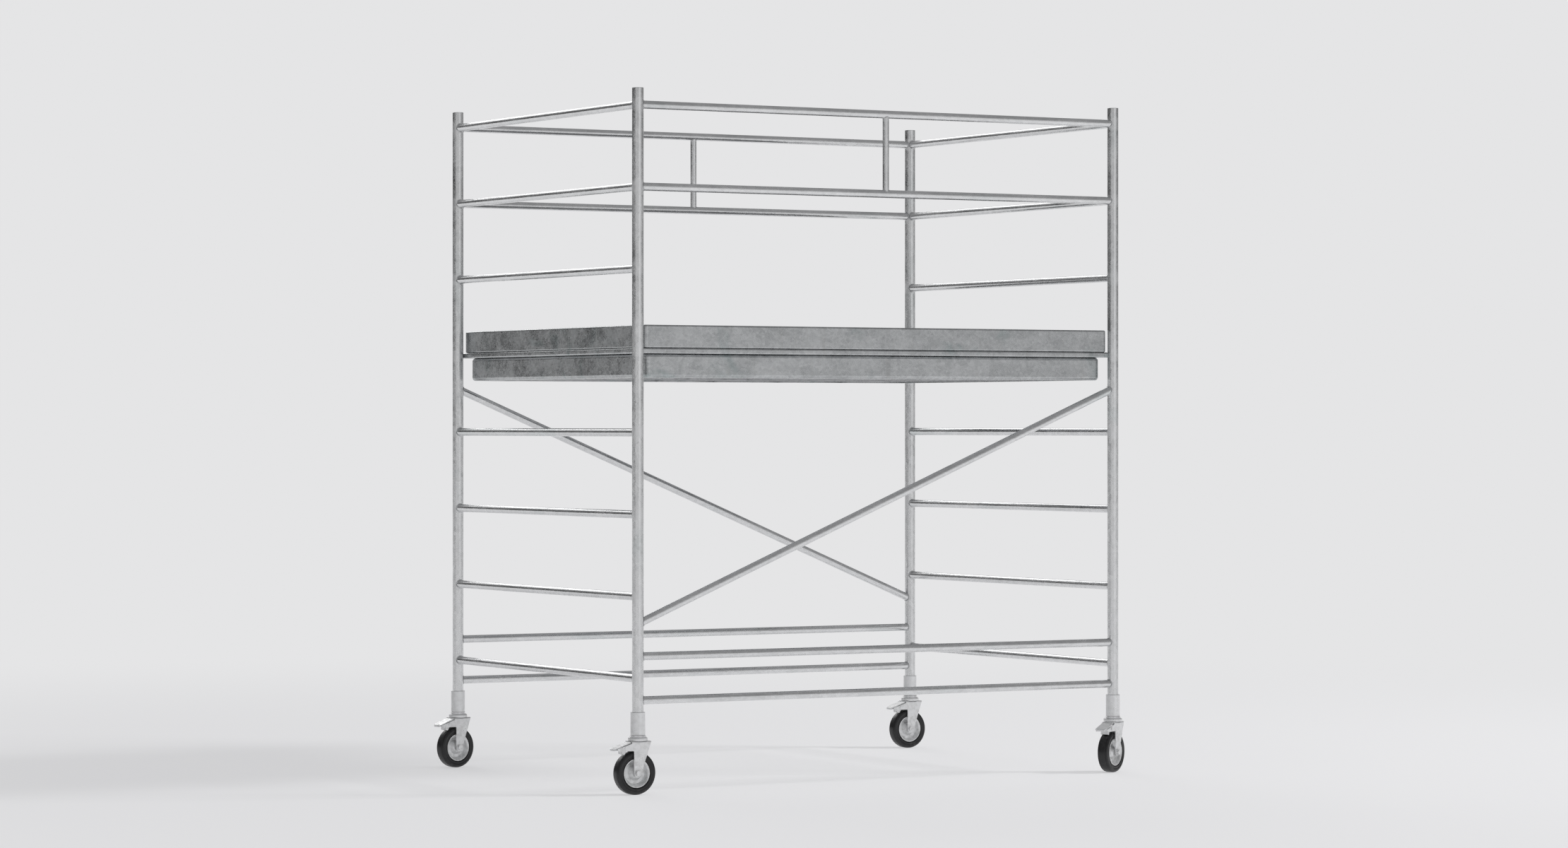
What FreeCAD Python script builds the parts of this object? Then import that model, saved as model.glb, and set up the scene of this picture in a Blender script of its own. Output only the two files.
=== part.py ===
import FreeCAD, Part
import math
import os
import re
import Sketcher

# Baker scaffold: a mobile one-bay platform on four braked swivel castors.
# X runs along the platform, Y across it and Z up from the floor. The origin is the middle of
# the whole footprint, at floor level. All sizes are millimetres.

Vector = FreeCAD.Vector

SIZES = {
    # The whole frame
    "frame_length": 2100,  # post axis to post axis along X
    "frame_width": 1500,  # post axis to post axis along Y
    "footprint_shift_x": 20,  # origin to the middle of the four posts
    "footprint_shift_y": 14,
    # Posts, rungs, rails and braces
    "post_diameter": 42.4,
    "post_wall": 2.6,
    "post_above_rung": 61.4,  # top rung axis to the open post top
    "rail_diameter": 30,
    "rail_wall": 2.5,
    "strut_diameter": 24,
    "strut_wall": 2,
    "strut_shift": 13,  # middle of the frame to the struts, towards the right end
    "rung_pitch": 300,
    "first_rung_rise": 181.6,  # post foot to the first rung
    "base_rail_rise": 102,  # post foot to the lower base rail
    "base_rail_pitch": 161,
    "brace_foot_rise": 382,  # post foot to the low end of a brace
    "brace_head_drop": 131,  # platform level to the high end of a brace
    # Folded channels of the platform
    "channel_wall": 3,
    "rim_depth": 20,
    "rim_flange": 40,
    "rim_bite": 1.2,  # how far the rim's ends reach into the coped joint at each post
    "rim_corner": 3,
    "rim_fold": 2.5,  # outer radius of the bend along each folded edge
    "beam_depth": 89,
    "beam_flange": 40,
    "beam_inset_x": 43,
    "beam_inset_y": 25,
    "beam_corner": 22,
    "beam_fold": 12,
    "toe_board_height": 85.4,
    "toe_board_flange": 18,
    "toe_board_inset_x": 27,
    "toe_board_inset_y": 2.5,
    "toe_board_corner": 16,
    "toe_board_fold": 6,
    "least_bend": 0.5,  # inner radius where a bend is no rounder than its sheet
    "mitre_reach": 200,
    # Deck panels, joists and hatch
    "panel_sheet": 3,
    "panel_gap": 0.5,
    "joist_width": 40,
    "joist_wall": 3,
    "hatch_length": 624,
    "hatch_width": 724,
    "hatch_end_distance": 213,  # left post axes to the hatch
    "hatch_side_distance": 110,  # back post axes to the hatch's hinged edge
    "hatch_gap": 3,
    "hatch_ledge": 12,  # how far the hatch laps onto its joists
    "hatch_rest_gap": 0.4,
    "hand_slot_length": 120,
    "hand_slot_width": 34,
    "hand_slot_edge": 48,
    "hinge_knuckle": 12,
    "hinge_pin_diameter": 6,
    "hinge_pin_clearance": 0.05,
    "hinge_leaf": 2.5,
    "hinge_leaf_reach": 34,
    "hinge_length": 90,
    "hinge_end_distance": 80,
    "hinge_play": 0.3,
    "hinge_pin_tail": 1,
    # Castors, from the floor up
    "wheel_diameter": 160,
    "tyre_width": 44,
    "tread_width": 26,
    "tread_groove_depth": 2.6,
    "tread_groove_near": 1.2,  # tread edge to the groove's floor
    "tread_groove_far": 2.6,  # tread edge to the floor's outer end
    "tread_groove_out": 4,  # tread edge to the shoulder
    "shoulder_drop": 1,
    "shoulder_round": 1.4,
    "sidewall_drop": 8,  # tread to the widest part of the tyre, and rim lip to its lower end
    "sidewall_round": 5,
    "bead_rise": 1,
    "rim_seat_diameter": 98,
    "rim_lip_diameter": 107,
    "rim_seat_width": 34,
    "rim_lip": 3,
    "rim_lip_round": 1,
    "rim_sheet": 2.5,
    "rim_set_in": 1,
    "dish_rise": 5,  # web face to the outer edge of the dish
    "dish_top_drop": 5,  # rim seat to that edge
    "dish_foot_drop": 9,  # rim seat to the flat of the web
    "dish_round": 2.5,
    "wheel_web": 5,
    "hub_diameter": 34,
    "hub_flare_foot": 11,  # hub to the flat of the web
    "hub_flare_top": 5,
    "hub_flare_rise": 7,
    "hub_barrel": 6,
    "hub_recess": 2,
    "bush_diameter": 18,
    "bush_side_gap": 0.3,
    "bush_clearance": 0.05,
    "axle_diameter": 12,
    "axle_hole_clearance": 0.25,
    "axle_hex": 19,
    "axle_head": 7,
    "axle_nut": 10,
    "axle_tail": 2,
    "washer_diameter": 24,
    "washer_plate": 2,
    "trail": 14.5,  # swivel axis to axle
    "crown_gap": 33,  # tyre to the underside of the crown
    "crown_plate": 4,
    "crown_front": 42,
    "crown_back": 38,
    "fork_gap": 48,
    "fork_plate": 3.5,
    "fork_boss": 15,
    "fork_bend": 5,
    "fork_notch": 4,
    "leg_front": 18,
    "leg_knee_rise": 50,  # axle to the knee of the leg's front edge
    "arm_reach": 97,
    "arm_depth": 35,  # crown top to the lower edge of the brake arm
    "arm_tip_drop": 26,
    "arm_root_drop": 8.3,
    "arm_tip_set_back": 7,
    "pedal_side_gap": 1,
    "pedal_plate": 3,
    "pedal_reach": 106,
    "pedal_root": 41,
    "pedal_root_drop": 2.9,
    "pedal_tip_drop": 24.4,
    "pedal_lip": 9,
    "pedal_corner": 7,
    "pedal_pin_diameter": 8,
    "pedal_pin_clearance": 0.05,
    "rivet_head_diameter": 13,
    "rivet_head": 2.5,
    "pedal_pin_back": 62,
    "pedal_pin_drop": 25,
    "cam_width": 30,
    "cam_lead_angle": 93,
    "cam_tail_angle": 118,
    "cam_front": 9,
    "cam_front_drop": 7,
    "brake_clearance": 0.1,
    "swivel_gap": 0.4,
    "cup_diameter": 72,
    "cup_wall": 3,
    "cup_plate": 3.7,
    "cup_height": 12.6,
    "ball_circle": 25,
    "ball_gap": 0.3,
    "ring_diameter": 62,
    "ring_height": 8,
    "ring_groove": 3.5,
    "ring_step": 1.5,
    "ring_lip": 2.4,  # foot of the ring to each level of its groove and step
    "ring_groove_low": 3.6,
    "ring_groove_high": 5.2,
    "ring_step_rise": 6,
    "ring_round": 0.7,
    "kingpin_diameter": 16,
    "kingpin_clearance": 0.05,
    "kingpin_head": 10,
    "kingpin_hex": 24,
    "kingpin_nut": 13,
    "kingpin_tail": 3,
    "socket_floor": 6,
    "nut_pocket_depth": 18,
    "nut_pocket_diameter": 32,
    "socket_diameter": 54,
    "socket_height": 84,
    "socket_clearance": 0.1,
    "socket_round": 1.2,
    "cut_margin": 1,  # how far a cut runs past the face it leaves by
    # Where each castor points, turned about its post from the pedal facing the left end
    "castor_turn_front_left": 0,
    "castor_turn_back_left": 12.5,
    "castor_turn_front_right": 28.5,
    "castor_turn_back_right": 2,
}

# Sizes that follow from the ones above.
DERIVED = {
    "half_length": "frame_length / 2",
    "half_width": "frame_width / 2",
    "post_radius": "post_diameter / 2",
    "axle_height": "wheel_diameter / 2",
    "fork_top": "wheel_diameter + crown_gap + crown_plate",
    "fork_half": "fork_gap / 2 + fork_plate",
    "cup_foot": "fork_top + swivel_gap",
    "cup_top": "cup_foot + cup_height",
    "ball_radius": "(cup_top - cup_plate - fork_top - ball_gap) / 2",
    "ring_top": "cup_top + ring_height",
    "nut_seat": "ring_top + socket_floor",
    "post_foot": "nut_seat + nut_pocket_depth",
    "socket_top": "ring_top + socket_height",
    "socket_bore": "post_radius + socket_clearance",
    "first_rung": "post_foot + first_rung_rise",
    "platform_level": "first_rung + 4 * rung_pitch",
    "mid_rail_level": "first_rung + 6 * rung_pitch",
    "top_rail_level": "first_rung + 7 * rung_pitch",
    "post_top": "top_rail_level + post_above_rung",
    "brace_low": "post_foot + brace_foot_rise",
    "brace_high": "platform_level - brace_head_drop",
    "deck_top": "platform_level + rim_depth / 2",
    "deck_underside": "platform_level - rim_depth / 2",
    "beam_underside": "deck_underside - beam_depth",
    "rim_half_x": "half_length - post_radius + rim_bite",
    "rim_half_y": "half_width",
    "panel_half_x": "rim_half_x - rim_flange - panel_gap",
    "panel_half_y": "rim_half_y - rim_flange - panel_gap",
    "hatch_left": "hatch_end_distance - half_length",
    "hatch_right": "hatch_left + hatch_length",
    "hatch_back": "half_width - hatch_side_distance",
    "hatch_front": "hatch_back - hatch_width",
    "left_joist": "hatch_left + hatch_ledge - joist_width / 2",
    "right_joist": "hatch_right - hatch_ledge + joist_width / 2",
    "joist_reach": "half_width - beam_inset_y - beam_flange",
    "bay_pitch": "(panel_half_x - right_joist) / 4",
    "seam": "right_joist + bay_pitch",
    "hinge_axis_y": "hatch_back + hatch_gap / 2",
    "hinge_axis_z": "deck_top + hinge_knuckle / 2 + hinge_play",
    "pin_x": "0 - pedal_pin_back",
    "pin_z": "fork_top - pedal_pin_drop",
    "cam_reach": "hypot(pin_x + trail; pin_z - axle_height) - axle_height - brake_clearance",
    "pedal_slope": "(pedal_tip_drop - pedal_root_drop) / (pedal_reach - pedal_root)",
    "leg_tangent": "atan2(leg_knee_rise; leg_front + trail)"
    " - acos(fork_boss / hypot(leg_front + trail; leg_knee_rise))",
}

CORNERS = {
    "front_left": ("-half_length", "-half_width"),
    "back_left": ("-half_length", "half_width"),
    "front_right": ("half_length", "-half_width"),
    "back_right": ("half_length", "half_width"),
}
SIDES = {"front": "-half_width", "back": "half_width"}
ENDS = {"left": "-half_length", "right": "half_length"}
RUNG_STEPS = (0, 1, 2, 3, 5, 6, 7)
BALLS_PER_RING = 16
ALONG = {
    "X": FreeCAD.Rotation(Vector(0, 1, 0), 90),
    "Y": FreeCAD.Rotation(Vector(1, 0, 0), -90),
    "Z": FreeCAD.Rotation(),
}

DOC = FreeCAD.newDocument("BakerScaffold")
SHEET = DOC.addObject("Spreadsheet::Sheet", "Sizes")
NODES = []


def fill_sheet():
    for row, (alias, number) in enumerate(SIZES.items(), 1):
        SHEET.set(f"A{row}", alias)
        SHEET.set(f"B{row}", str(number))
        SHEET.setAlias(f"B{row}", alias)
    DOC.recompute()


def formula(text):
    """Turn a formula in plain size names into an expression on the spreadsheet."""

    def word(match):
        name = match.group()
        if name in SIZES:
            return f"Sizes.{name}"
        return f"({formula(DERIVED[name])})" if name in DERIVED else name

    return re.sub(r"[a-z_]+", word, str(text))


def value(text):
    return float(SHEET.evalExpression(formula(text)))


def bind(thing, properties):
    for name, text in properties.items():
        thing.setExpression(name, formula(text))


def put(thing, x="0", y="0", z="0"):
    bind(thing, {"Placement.Base.x": x, "Placement.Base.y": y, "Placement.Base.z": z})
    return thing


def add(kind, name):
    return DOC.addObject(kind, name)


# Part primitives and booleans


def block(name, low, high):
    box = add("Part::Box", name)
    for size, a, b in zip(("Length", "Width", "Height"), low, high):
        bind(box, {size: f"({b}) - ({a})"})
    return put(box, *low)


def rod(name, radius, length, along="Z", at=("0", "0", "0")):
    cylinder = add("Part::Cylinder", name)
    cylinder.Placement.Rotation = ALONG[along]
    bind(cylinder, {"Radius": radius, "Height": length})
    return put(cylinder, *at)


def hexagon(name, across_flats, height, along="Z", at=("0", "0", "0")):
    prism = add("Part::Prism", name)
    prism.Polygon = 6
    prism.Placement.Rotation = ALONG[along]
    bind(prism, {"Circumradius": f"({across_flats}) / 2 / cos(30)", "Height": height})
    return put(prism, *at)


def cut(name, base, tool):
    result = add("Part::Cut", name)
    result.Base, result.Tool = base, tool
    return result


def common(name, base, tool):
    result = add("Part::Common", name)
    result.Base, result.Tool = base, tool
    return result


def fuse(name, parts):
    result = add("Part::MultiFuse", name)
    result.Shapes = parts
    return result


def group(name, parts):
    result = add("Part::Compound", name)
    result.Links = parts
    return result


def pipe(name, diameter, wall, length, along, at):
    outer = rod(f"{name}_outer", f"({diameter}) / 2", length, along, at)
    inner = rod(f"{name}_inner", f"({diameter}) / 2 - {wall}", length, along, at)
    return cut(f"{name}_pipe", outer, inner)


# PartDesign bodies


def new_body(name):
    return add("PartDesign::Body", f"{name}_body")


def new_sketch(body, name, plane, offset=("0", "0")):
    """A sketch on a plane of the body, moved by (up in the sketch, along its normal)."""
    sketch = body.newObject("Sketcher::SketchObject", f"{body.Name}_{name}")
    support = next(f for f in body.Origin.OriginFeatures if f.Role == plane)
    sketch.AttachmentSupport = [(support, "")]
    sketch.MapMode = "FlatFace"
    bind(sketch, {"AttachmentOffset.Base.y": offset[0], "AttachmentOffset.Base.z": offset[1]})
    return sketch


def dimension(sketch, kind, text, *where):
    index = sketch.addConstraint(Sketcher.Constraint(kind, *where, value(text)))
    bind(sketch, {f"Constraints[{index}]": text})


def outline(body, name, plane, corners, offset=("0", "0")):
    """A closed outline. A corner with a radius starts an arc to the next corner, turning
    anticlockwise, or clockwise where a fourth entry says so."""
    sketch = new_sketch(body, name, plane, offset)
    points = [Vector(value(c[0]), value(c[1]), 0) for c in corners]
    ends = []
    for index, corner in enumerate(corners):
        start, end = points[index], points[(index + 1) % len(points)]
        if len(corner) == 2:
            sketch.addGeometry(Part.LineSegment(start, end))
            ends.append((1, 2))
            continue
        clockwise = len(corner) == 4
        if clockwise:
            start, end = end, start
        radius, chord = value(corner[2]), end - start
        rise = math.sqrt(max(radius**2 - (chord.Length / 2) ** 2, 0))
        centre = (start + end) / 2 + Vector(-chord.y, chord.x, 0).normalize() * rise
        first, last = [math.atan2((p - centre).y, (p - centre).x) for p in (start, end)]
        if last < first:
            last += 2 * math.pi
        circle = Part.Circle(centre, Vector(0, 0, 1), radius)
        sketch.addGeometry(Part.ArcOfCircle(circle, first, last))
        ends.append((2, 1) if clockwise else (1, 2))
    for index, (_, stop) in enumerate(ends):
        following = (index + 1) % len(ends)
        joint = Sketcher.Constraint("Coincident", index, stop, following, ends[following][0])
        sketch.addConstraint(joint)
    for index, corner in enumerate(corners):
        dimension(sketch, "DistanceX", corner[0], -1, 1, index, ends[index][0])
        dimension(sketch, "DistanceY", corner[1], -1, 1, index, ends[index][0])
        if len(corner) > 2:
            dimension(sketch, "Radius", corner[2], index)
    return sketch


def circle_sketch(body, name, plane, across, up, radius):
    sketch = new_sketch(body, name, plane)
    centre = Vector(value(across), value(up), 0)
    sketch.addGeometry(Part.Circle(centre, Vector(0, 0, 1), value(radius)))
    dimension(sketch, "DistanceX", across, -1, 1, 0, 3)
    dimension(sketch, "DistanceY", up, -1, 1, 0, 3)
    dimension(sketch, "Radius", radius, 0)
    return sketch


def symmetric(body, kind, sketch, length):
    """A pad or pocket that reaches the same distance to both sides of its sketch."""
    feature = body.newObject(f"PartDesign::{kind}", f"{sketch.Name}_{kind}")
    feature.Profile = sketch
    feature.SideType = "Symmetric"
    bind(feature, {"Length": length})
    return feature


def raise_pad(body, sketch, length):
    pad = body.newObject("PartDesign::Pad", f"{sketch.Name}_Pad")
    pad.Profile = sketch
    bind(pad, {"Length": length})
    return pad


def revolve(body, sketch, axis):
    turned = body.newObject("PartDesign::Revolution", f"{sketch.Name}_Revolution")
    turned.Profile = sketch
    turned.ReferenceAxis = (sketch, [axis])
    turned.Angle = 360
    return turned


def fillet(body, name, radius, chosen):
    """Round every edge of the body's tip that the test picks."""
    DOC.recompute()
    base = body.Tip
    picked = [f"Edge{index}" for index, edge in enumerate(base.Shape.Edges, 1) if chosen(edge)]
    rounded = body.newObject("PartDesign::Fillet", f"{body.Name}_{name}")
    rounded.Base = (base, picked)
    bind(rounded, {"Radius": radius})
    return rounded


def level(edge):
    return abs(edge.tangentAt(edge.FirstParameter).z) < 0.001


def upright(edge):
    direction = edge.tangentAt(edge.FirstParameter)
    return abs(direction.z) > 0.999


def ring_edge(edge, radii, tolerance=0.01):
    """Whether an edge is a circle of one of the radii."""
    if not isinstance(edge.Curve, Part.Circle):
        return False
    return any(abs(edge.Curve.Radius - value(r)) < tolerance for r in radii)


def both_halves(half):
    """Close a half outline, given from the middle outwards, by its mirror image."""
    return list(half) + [(f"-({y})", r) for y, r in reversed(half)]


# Nodes


def node(label, thing, at=("0", "0")):
    thing.Label = label
    put(thing, f"{at[0]} + footprint_shift_x", f"{at[1]} + footprint_shift_y")
    NODES.append(thing)


def castor_node(label, thing, corner):
    thing.Placement.Rotation = FreeCAD.Rotation(Vector(0, 0, 1), 1)
    node(f"{label}_{corner}", thing, CORNERS[corner])
    bind(thing, {"Placement.Rotation.Angle": f"castor_turn_{corner}"})


def corner_group(label, make):
    """One node that holds the same piece at each of the four posts."""
    pieces = []
    for corner, (x, y) in CORNERS.items():
        piece = make(f"{label}_{corner}")
        pieces.append(put(piece, x, y))
    node(label, group(f"{label}_group", pieces))


# Frame


def post_envelopes():
    """Solid cylinders that cope the tubes meeting the posts."""
    rods = [
        rod(f"envelope_{corner}", "post_radius", "post_top", "Z", (x, y, "0"))
        for corner, (x, y) in CORNERS.items()
    ]
    return group("post_envelopes", rods)


def build_posts():
    for corner, (x, y) in CORNERS.items():
        length = "post_top - post_foot"
        at = (x, y, "post_foot")
        node(f"post_{corner}", pipe(f"post_{corner}", "post_diameter", "post_wall", length, "Z", at))


def coped_rail(name, length, along, at, envelopes):
    return cut(name, pipe(name, "rail_diameter", "rail_wall", length, along, at), envelopes)


def build_rungs(envelopes):
    for end, x in ENDS.items():
        rungs = []
        for step in RUNG_STEPS:
            at = (x, "-half_width", f"first_rung + {step} * rung_pitch")
            rungs.append(coped_rail(f"rung_{end}_{step}", "frame_width", "Y", at, envelopes))
        node(f"rungs_{end}_end", group(f"rungs_{end}", rungs))


def build_long_rails(envelopes):
    for side, y in SIDES.items():
        levels = {
            f"top_rail_{side}": "top_rail_level",
            f"mid_rail_{side}": "mid_rail_level",
            f"lower_base_{side}": "post_foot + base_rail_rise",
            f"upper_base_{side}": "post_foot + base_rail_rise + base_rail_pitch",
        }
        rails = {
            name: coped_rail(f"{name}_coped", "frame_length", "X", ("-half_length", y, z), envelopes)
            for name, z in levels.items()
        }
        for name in (f"top_rail_{side}", f"mid_rail_{side}"):
            node(name, rails[name])
        bases = [rails[f"lower_base_{side}"], rails[f"upper_base_{side}"]]
        node(f"base_rails_{side}", group(f"base_pair_{side}", bases))


def build_struts():
    """The short uprights that tie each mid rail to its top rail."""
    struts = []
    for side, y in SIDES.items():
        at = ("strut_shift", y, "mid_rail_level")
        length = "top_rail_level - mid_rail_level"
        upright_pipe = pipe(f"strut_{side}", "strut_diameter", "strut_wall", length, "Z", at)
        bars = [
            rod(f"strut_cope_{side}_{name}", "rail_diameter / 2", "rail_diameter * 2", "X", place)
            for name, place in {
                "low": ("strut_shift - rail_diameter", y, "mid_rail_level"),
                "high": ("strut_shift - rail_diameter", y, "top_rail_level"),
            }.items()
        ]
        cope = group(f"strut_copes_{side}", bars)
        struts.append(cut(f"strut_{side}_coped", upright_pipe, cope))
    node("rail_struts", group("struts", struts))


def build_braces(envelopes):
    rise = "(brace_high - brace_low)"
    length = f"hypot(frame_length; {rise})"
    tilts = {
        "front": ("brace_low", f"90deg - atan2({rise}; frame_length)"),
        "back": ("brace_high", f"90deg + atan2({rise}; frame_length)"),
    }
    for side, (start, tilt) in tilts.items():
        at = ("-half_length", SIDES[side], start)
        tube = []
        for layer, radius in {
            "outer": "rail_diameter / 2",
            "inner": "rail_diameter / 2 - rail_wall",
        }.items():
            piece = rod(f"brace_{side}_{layer}", radius, length, "X", at)
            bind(piece, {"Placement.Rotation.Angle": tilt})
            tube.append(piece)
        hollow = cut(f"brace_{side}_pipe", *tube)
        node(f"brace_{side}", cut(f"brace_{side}_coped", hollow, envelopes))


# Platform


def rounded_block(name, half_x, half_y, low, high, corner, fold):
    body = new_body(name)
    corners = [
        (f"-({half_x})", f"-({half_y})"),
        (half_x, f"-({half_y})"),
        (half_x, half_y),
        (f"-({half_x})", half_y),
    ]
    raise_pad(body, outline(body, "plan", "XY_Plane", corners), f"({high}) - ({low})")
    fillet(body, "corners", corner, upright)
    fillet(body, "folds", fold, level)
    return put(body, "0", "0", low)


def channel_ring(name, half_x, half_y, low, high, flange, corner, fold):
    """A ring of folded channel, open inwards, with its corners rounded in plan."""
    outer = rounded_block(f"{name}_outer", half_x, half_y, low, high, corner, fold)
    inside = rounded_block(
        f"{name}_inside",
        f"{half_x} - channel_wall",
        f"{half_y} - channel_wall",
        f"{low} + channel_wall",
        f"{high} - channel_wall",
        f"max({corner} - channel_wall; least_bend)",
        f"max({fold} - channel_wall; least_bend)",
    )
    reach_x, reach_y = f"({half_x} - {flange})", f"({half_y} - {flange})"
    well = block(
        f"{name}_well",
        (f"-{reach_x}", f"-{reach_y}", f"{low} - cut_margin"),
        (reach_x, reach_y, f"{high} + cut_margin"),
    )
    return cut(f"{name}_ring", cut(f"{name}_channel", outer, inside), well)


def mitre_wedges(name, half_x, half_y, low, high):
    """Four prisms that split a ring along its mitred corners."""
    wedges = {}
    for side, (along, across, turn) in {
        "front": (half_x, half_y, 0),
        "right": (half_y, half_x, 90),
        "back": (half_x, half_y, 180),
        "left": (half_y, half_x, 270),
    }.items():
        wedge = add("Part::Wedge", f"{name}_{side}_wedge")
        bind(
            wedge,
            {
                "Xmin": f"-({along})",
                "Xmax": along,
                "X2min": f"mitre_reach - ({along})",
                "X2max": f"({along}) - mitre_reach",
                "Ymin": f"-({across})",
                "Ymax": f"mitre_reach - ({across})",
                "Zmin": f"{low} - cut_margin",
                "Z2min": f"{low} - cut_margin",
                "Zmax": f"{high} + cut_margin",
                "Z2max": f"{high} + cut_margin",
            },
        )
        wedge.Placement.Rotation = FreeCAD.Rotation(Vector(0, 0, 1), turn)
        wedges[side] = wedge
    return wedges


def mitred_ring(name, half_x, half_y, low, high, flange, corner, fold):
    ring = channel_ring(name, half_x, half_y, low, high, flange, corner, fold)
    wedges = mitre_wedges(name, half_x, half_y, low, high)
    return {side: common(f"{name}_{side}", ring, wedge) for side, wedge in wedges.items()}


def build_platform_rings(envelopes):
    rim = mitred_ring(
        "rim",
        "rim_half_x",
        "rim_half_y",
        "deck_underside",
        "deck_top",
        "rim_flange",
        "rim_corner",
        "rim_fold",
    )
    coped = [cut(f"rim_{side}_coped", bar, envelopes) for side, bar in rim.items()]
    node("deck_rim", group("rim_bars", coped))
    beams = mitred_ring(
        "beam",
        "(half_length - beam_inset_x)",
        "(half_width - beam_inset_y)",
        "beam_underside",
        "deck_underside",
        "beam_flange",
        "beam_corner",
        "beam_fold",
    )
    for side, beam in beams.items():
        node(f"deck_beam_{side}", beam)
    boards = mitred_ring(
        "toe_board",
        "(half_length - toe_board_inset_x)",
        "(half_width - toe_board_inset_y)",
        "deck_top",
        "deck_top + toe_board_height",
        "toe_board_flange",
        "toe_board_corner",
        "toe_board_fold",
    )
    for side, board in boards.items():
        node(f"toe_board_{side}", board)


def build_joists():
    """Box joists between the side beams, and two trimmers beside the hatch."""
    lows = [f"{x} - joist_width / 2" for x in ("left_joist", "right_joist")]
    lows += [f"right_joist + {bay} * bay_pitch - joist_width / 2" for bay in (1, 2, 3)]
    joists = []
    for index, x in enumerate(lows):
        low = (x, "-joist_reach", "beam_underside")
        high = (f"{x} + joist_width", "joist_reach", "deck_underside")
        bore_low = (f"{x} + joist_wall", "-joist_reach", "beam_underside + joist_wall")
        bore_high = (f"{x} + joist_width - joist_wall", "joist_reach", "deck_underside - joist_wall")
        outer, bore = block(f"joist_{index}", low, high), block(f"joist_bore_{index}", bore_low, bore_high)
        joists.append(cut(f"joist_{index}_box", outer, bore))
    trimmer_lows = {
        "front": "hatch_front + hatch_ledge - joist_width",
        "back": "hatch_back - hatch_ledge",
    }
    start, stop = "left_joist + joist_width / 2", "right_joist - joist_width / 2"
    for side, y in trimmer_lows.items():
        outer = block(
            f"trimmer_{side}", (start, y, "beam_underside"), (stop, f"{y} + joist_width", "deck_underside")
        )
        bore = block(
            f"trimmer_bore_{side}",
            (start, f"{y} + joist_wall", "beam_underside + joist_wall"),
            (stop, f"{y} + joist_width - joist_wall", "deck_underside - joist_wall"),
        )
        joists.append(cut(f"trimmer_{side}_box", outer, bore))
    node("deck_joists", group("joists", joists))


def tray(name, low, high, underside):
    """A sheet folded down along its four edges, open underneath."""
    outer = block(f"{name}_outer", (*low, underside), (*high, "deck_top"))
    inner = block(
        f"{name}_inner",
        (f"{low[0]} + panel_sheet", f"{low[1]} + panel_sheet", f"{underside} - cut_margin"),
        (f"{high[0]} - panel_sheet", f"{high[1]} - panel_sheet", "deck_top - panel_sheet"),
    )
    return cut(f"{name}_tray", outer, inner)


def build_deck_panels():
    right_low, right_high = ("seam + panel_gap", "-panel_half_y"), ("panel_half_x", "panel_half_y")
    right = tray("right_panel", right_low, right_high, "deck_underside")
    node("deck_panel_right", right)
    left_low, left_high = ("-panel_half_x", "-panel_half_y"), ("seam - panel_gap", "panel_half_y")
    left = tray("left_panel", left_low, left_high, "deck_underside")
    hole_low = ("hatch_left - hatch_gap", "hatch_front - hatch_gap")
    hole_high = ("hatch_right + hatch_gap", "hatch_back + hatch_gap")
    frame = block(
        "hatch_frame",
        (*[f"{v} - panel_sheet" for v in hole_low], "deck_underside"),
        (*[f"{v} + panel_sheet" for v in hole_high], "deck_top"),
    )
    hole = block(
        "hatch_hole",
        (*hole_low, "deck_underside - cut_margin"),
        (*hole_high, "deck_top + cut_margin"),
    )
    node("deck_panel_left", cut("left_panel_cut", fuse("left_panel_framed", [left, frame]), hole))


def build_hatch():
    low, high = ("hatch_left", "hatch_front"), ("hatch_right", "hatch_back")
    panel = tray("hatch", low, high, "deck_underside + hatch_rest_gap")
    middle = "((hatch_left + hatch_right) / 2)"
    slot = block(
        "hand_slot",
        (f"{middle} - hand_slot_length / 2", "hatch_front + hand_slot_edge", "deck_underside"),
        (
            f"{middle} + hand_slot_length / 2",
            "hatch_front + hand_slot_edge + hand_slot_width",
            "deck_top + cut_margin",
        ),
    )
    node("hatch_panel", cut("hatch_slotted", panel, slot))


def hinge_knuckle(name, start, length, leaf_side):
    """A leaf on the deck with its knuckle around the pin, along X from start."""
    axis = ("hinge_axis_y", "hinge_axis_z")
    barrel = rod(f"{name}_barrel", "hinge_knuckle / 2", length, "X", (start, *axis))
    if leaf_side == "fixed":
        near, far = "hatch_back + hatch_gap + hinge_play", "hatch_back + hinge_leaf_reach"
        bore_radius = "hinge_pin_diameter / 2"
    else:
        near, far = "hatch_back - hinge_leaf_reach", "hatch_back - hinge_play"
        bore_radius = "hinge_pin_diameter / 2 + hinge_pin_clearance"
    leaf = block(
        f"{name}_leaf", (start, near, "deck_top"), (f"{start} + {length}", far, "deck_top + hinge_leaf")
    )
    bore_start = (f"{start} - cut_margin", *axis)
    bore = rod(f"{name}_bore", bore_radius, f"{length} + 2 * cut_margin", "X", bore_start)
    return cut(f"{name}_knuckle", fuse(f"{name}_solid", [barrel, leaf]), bore)


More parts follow.
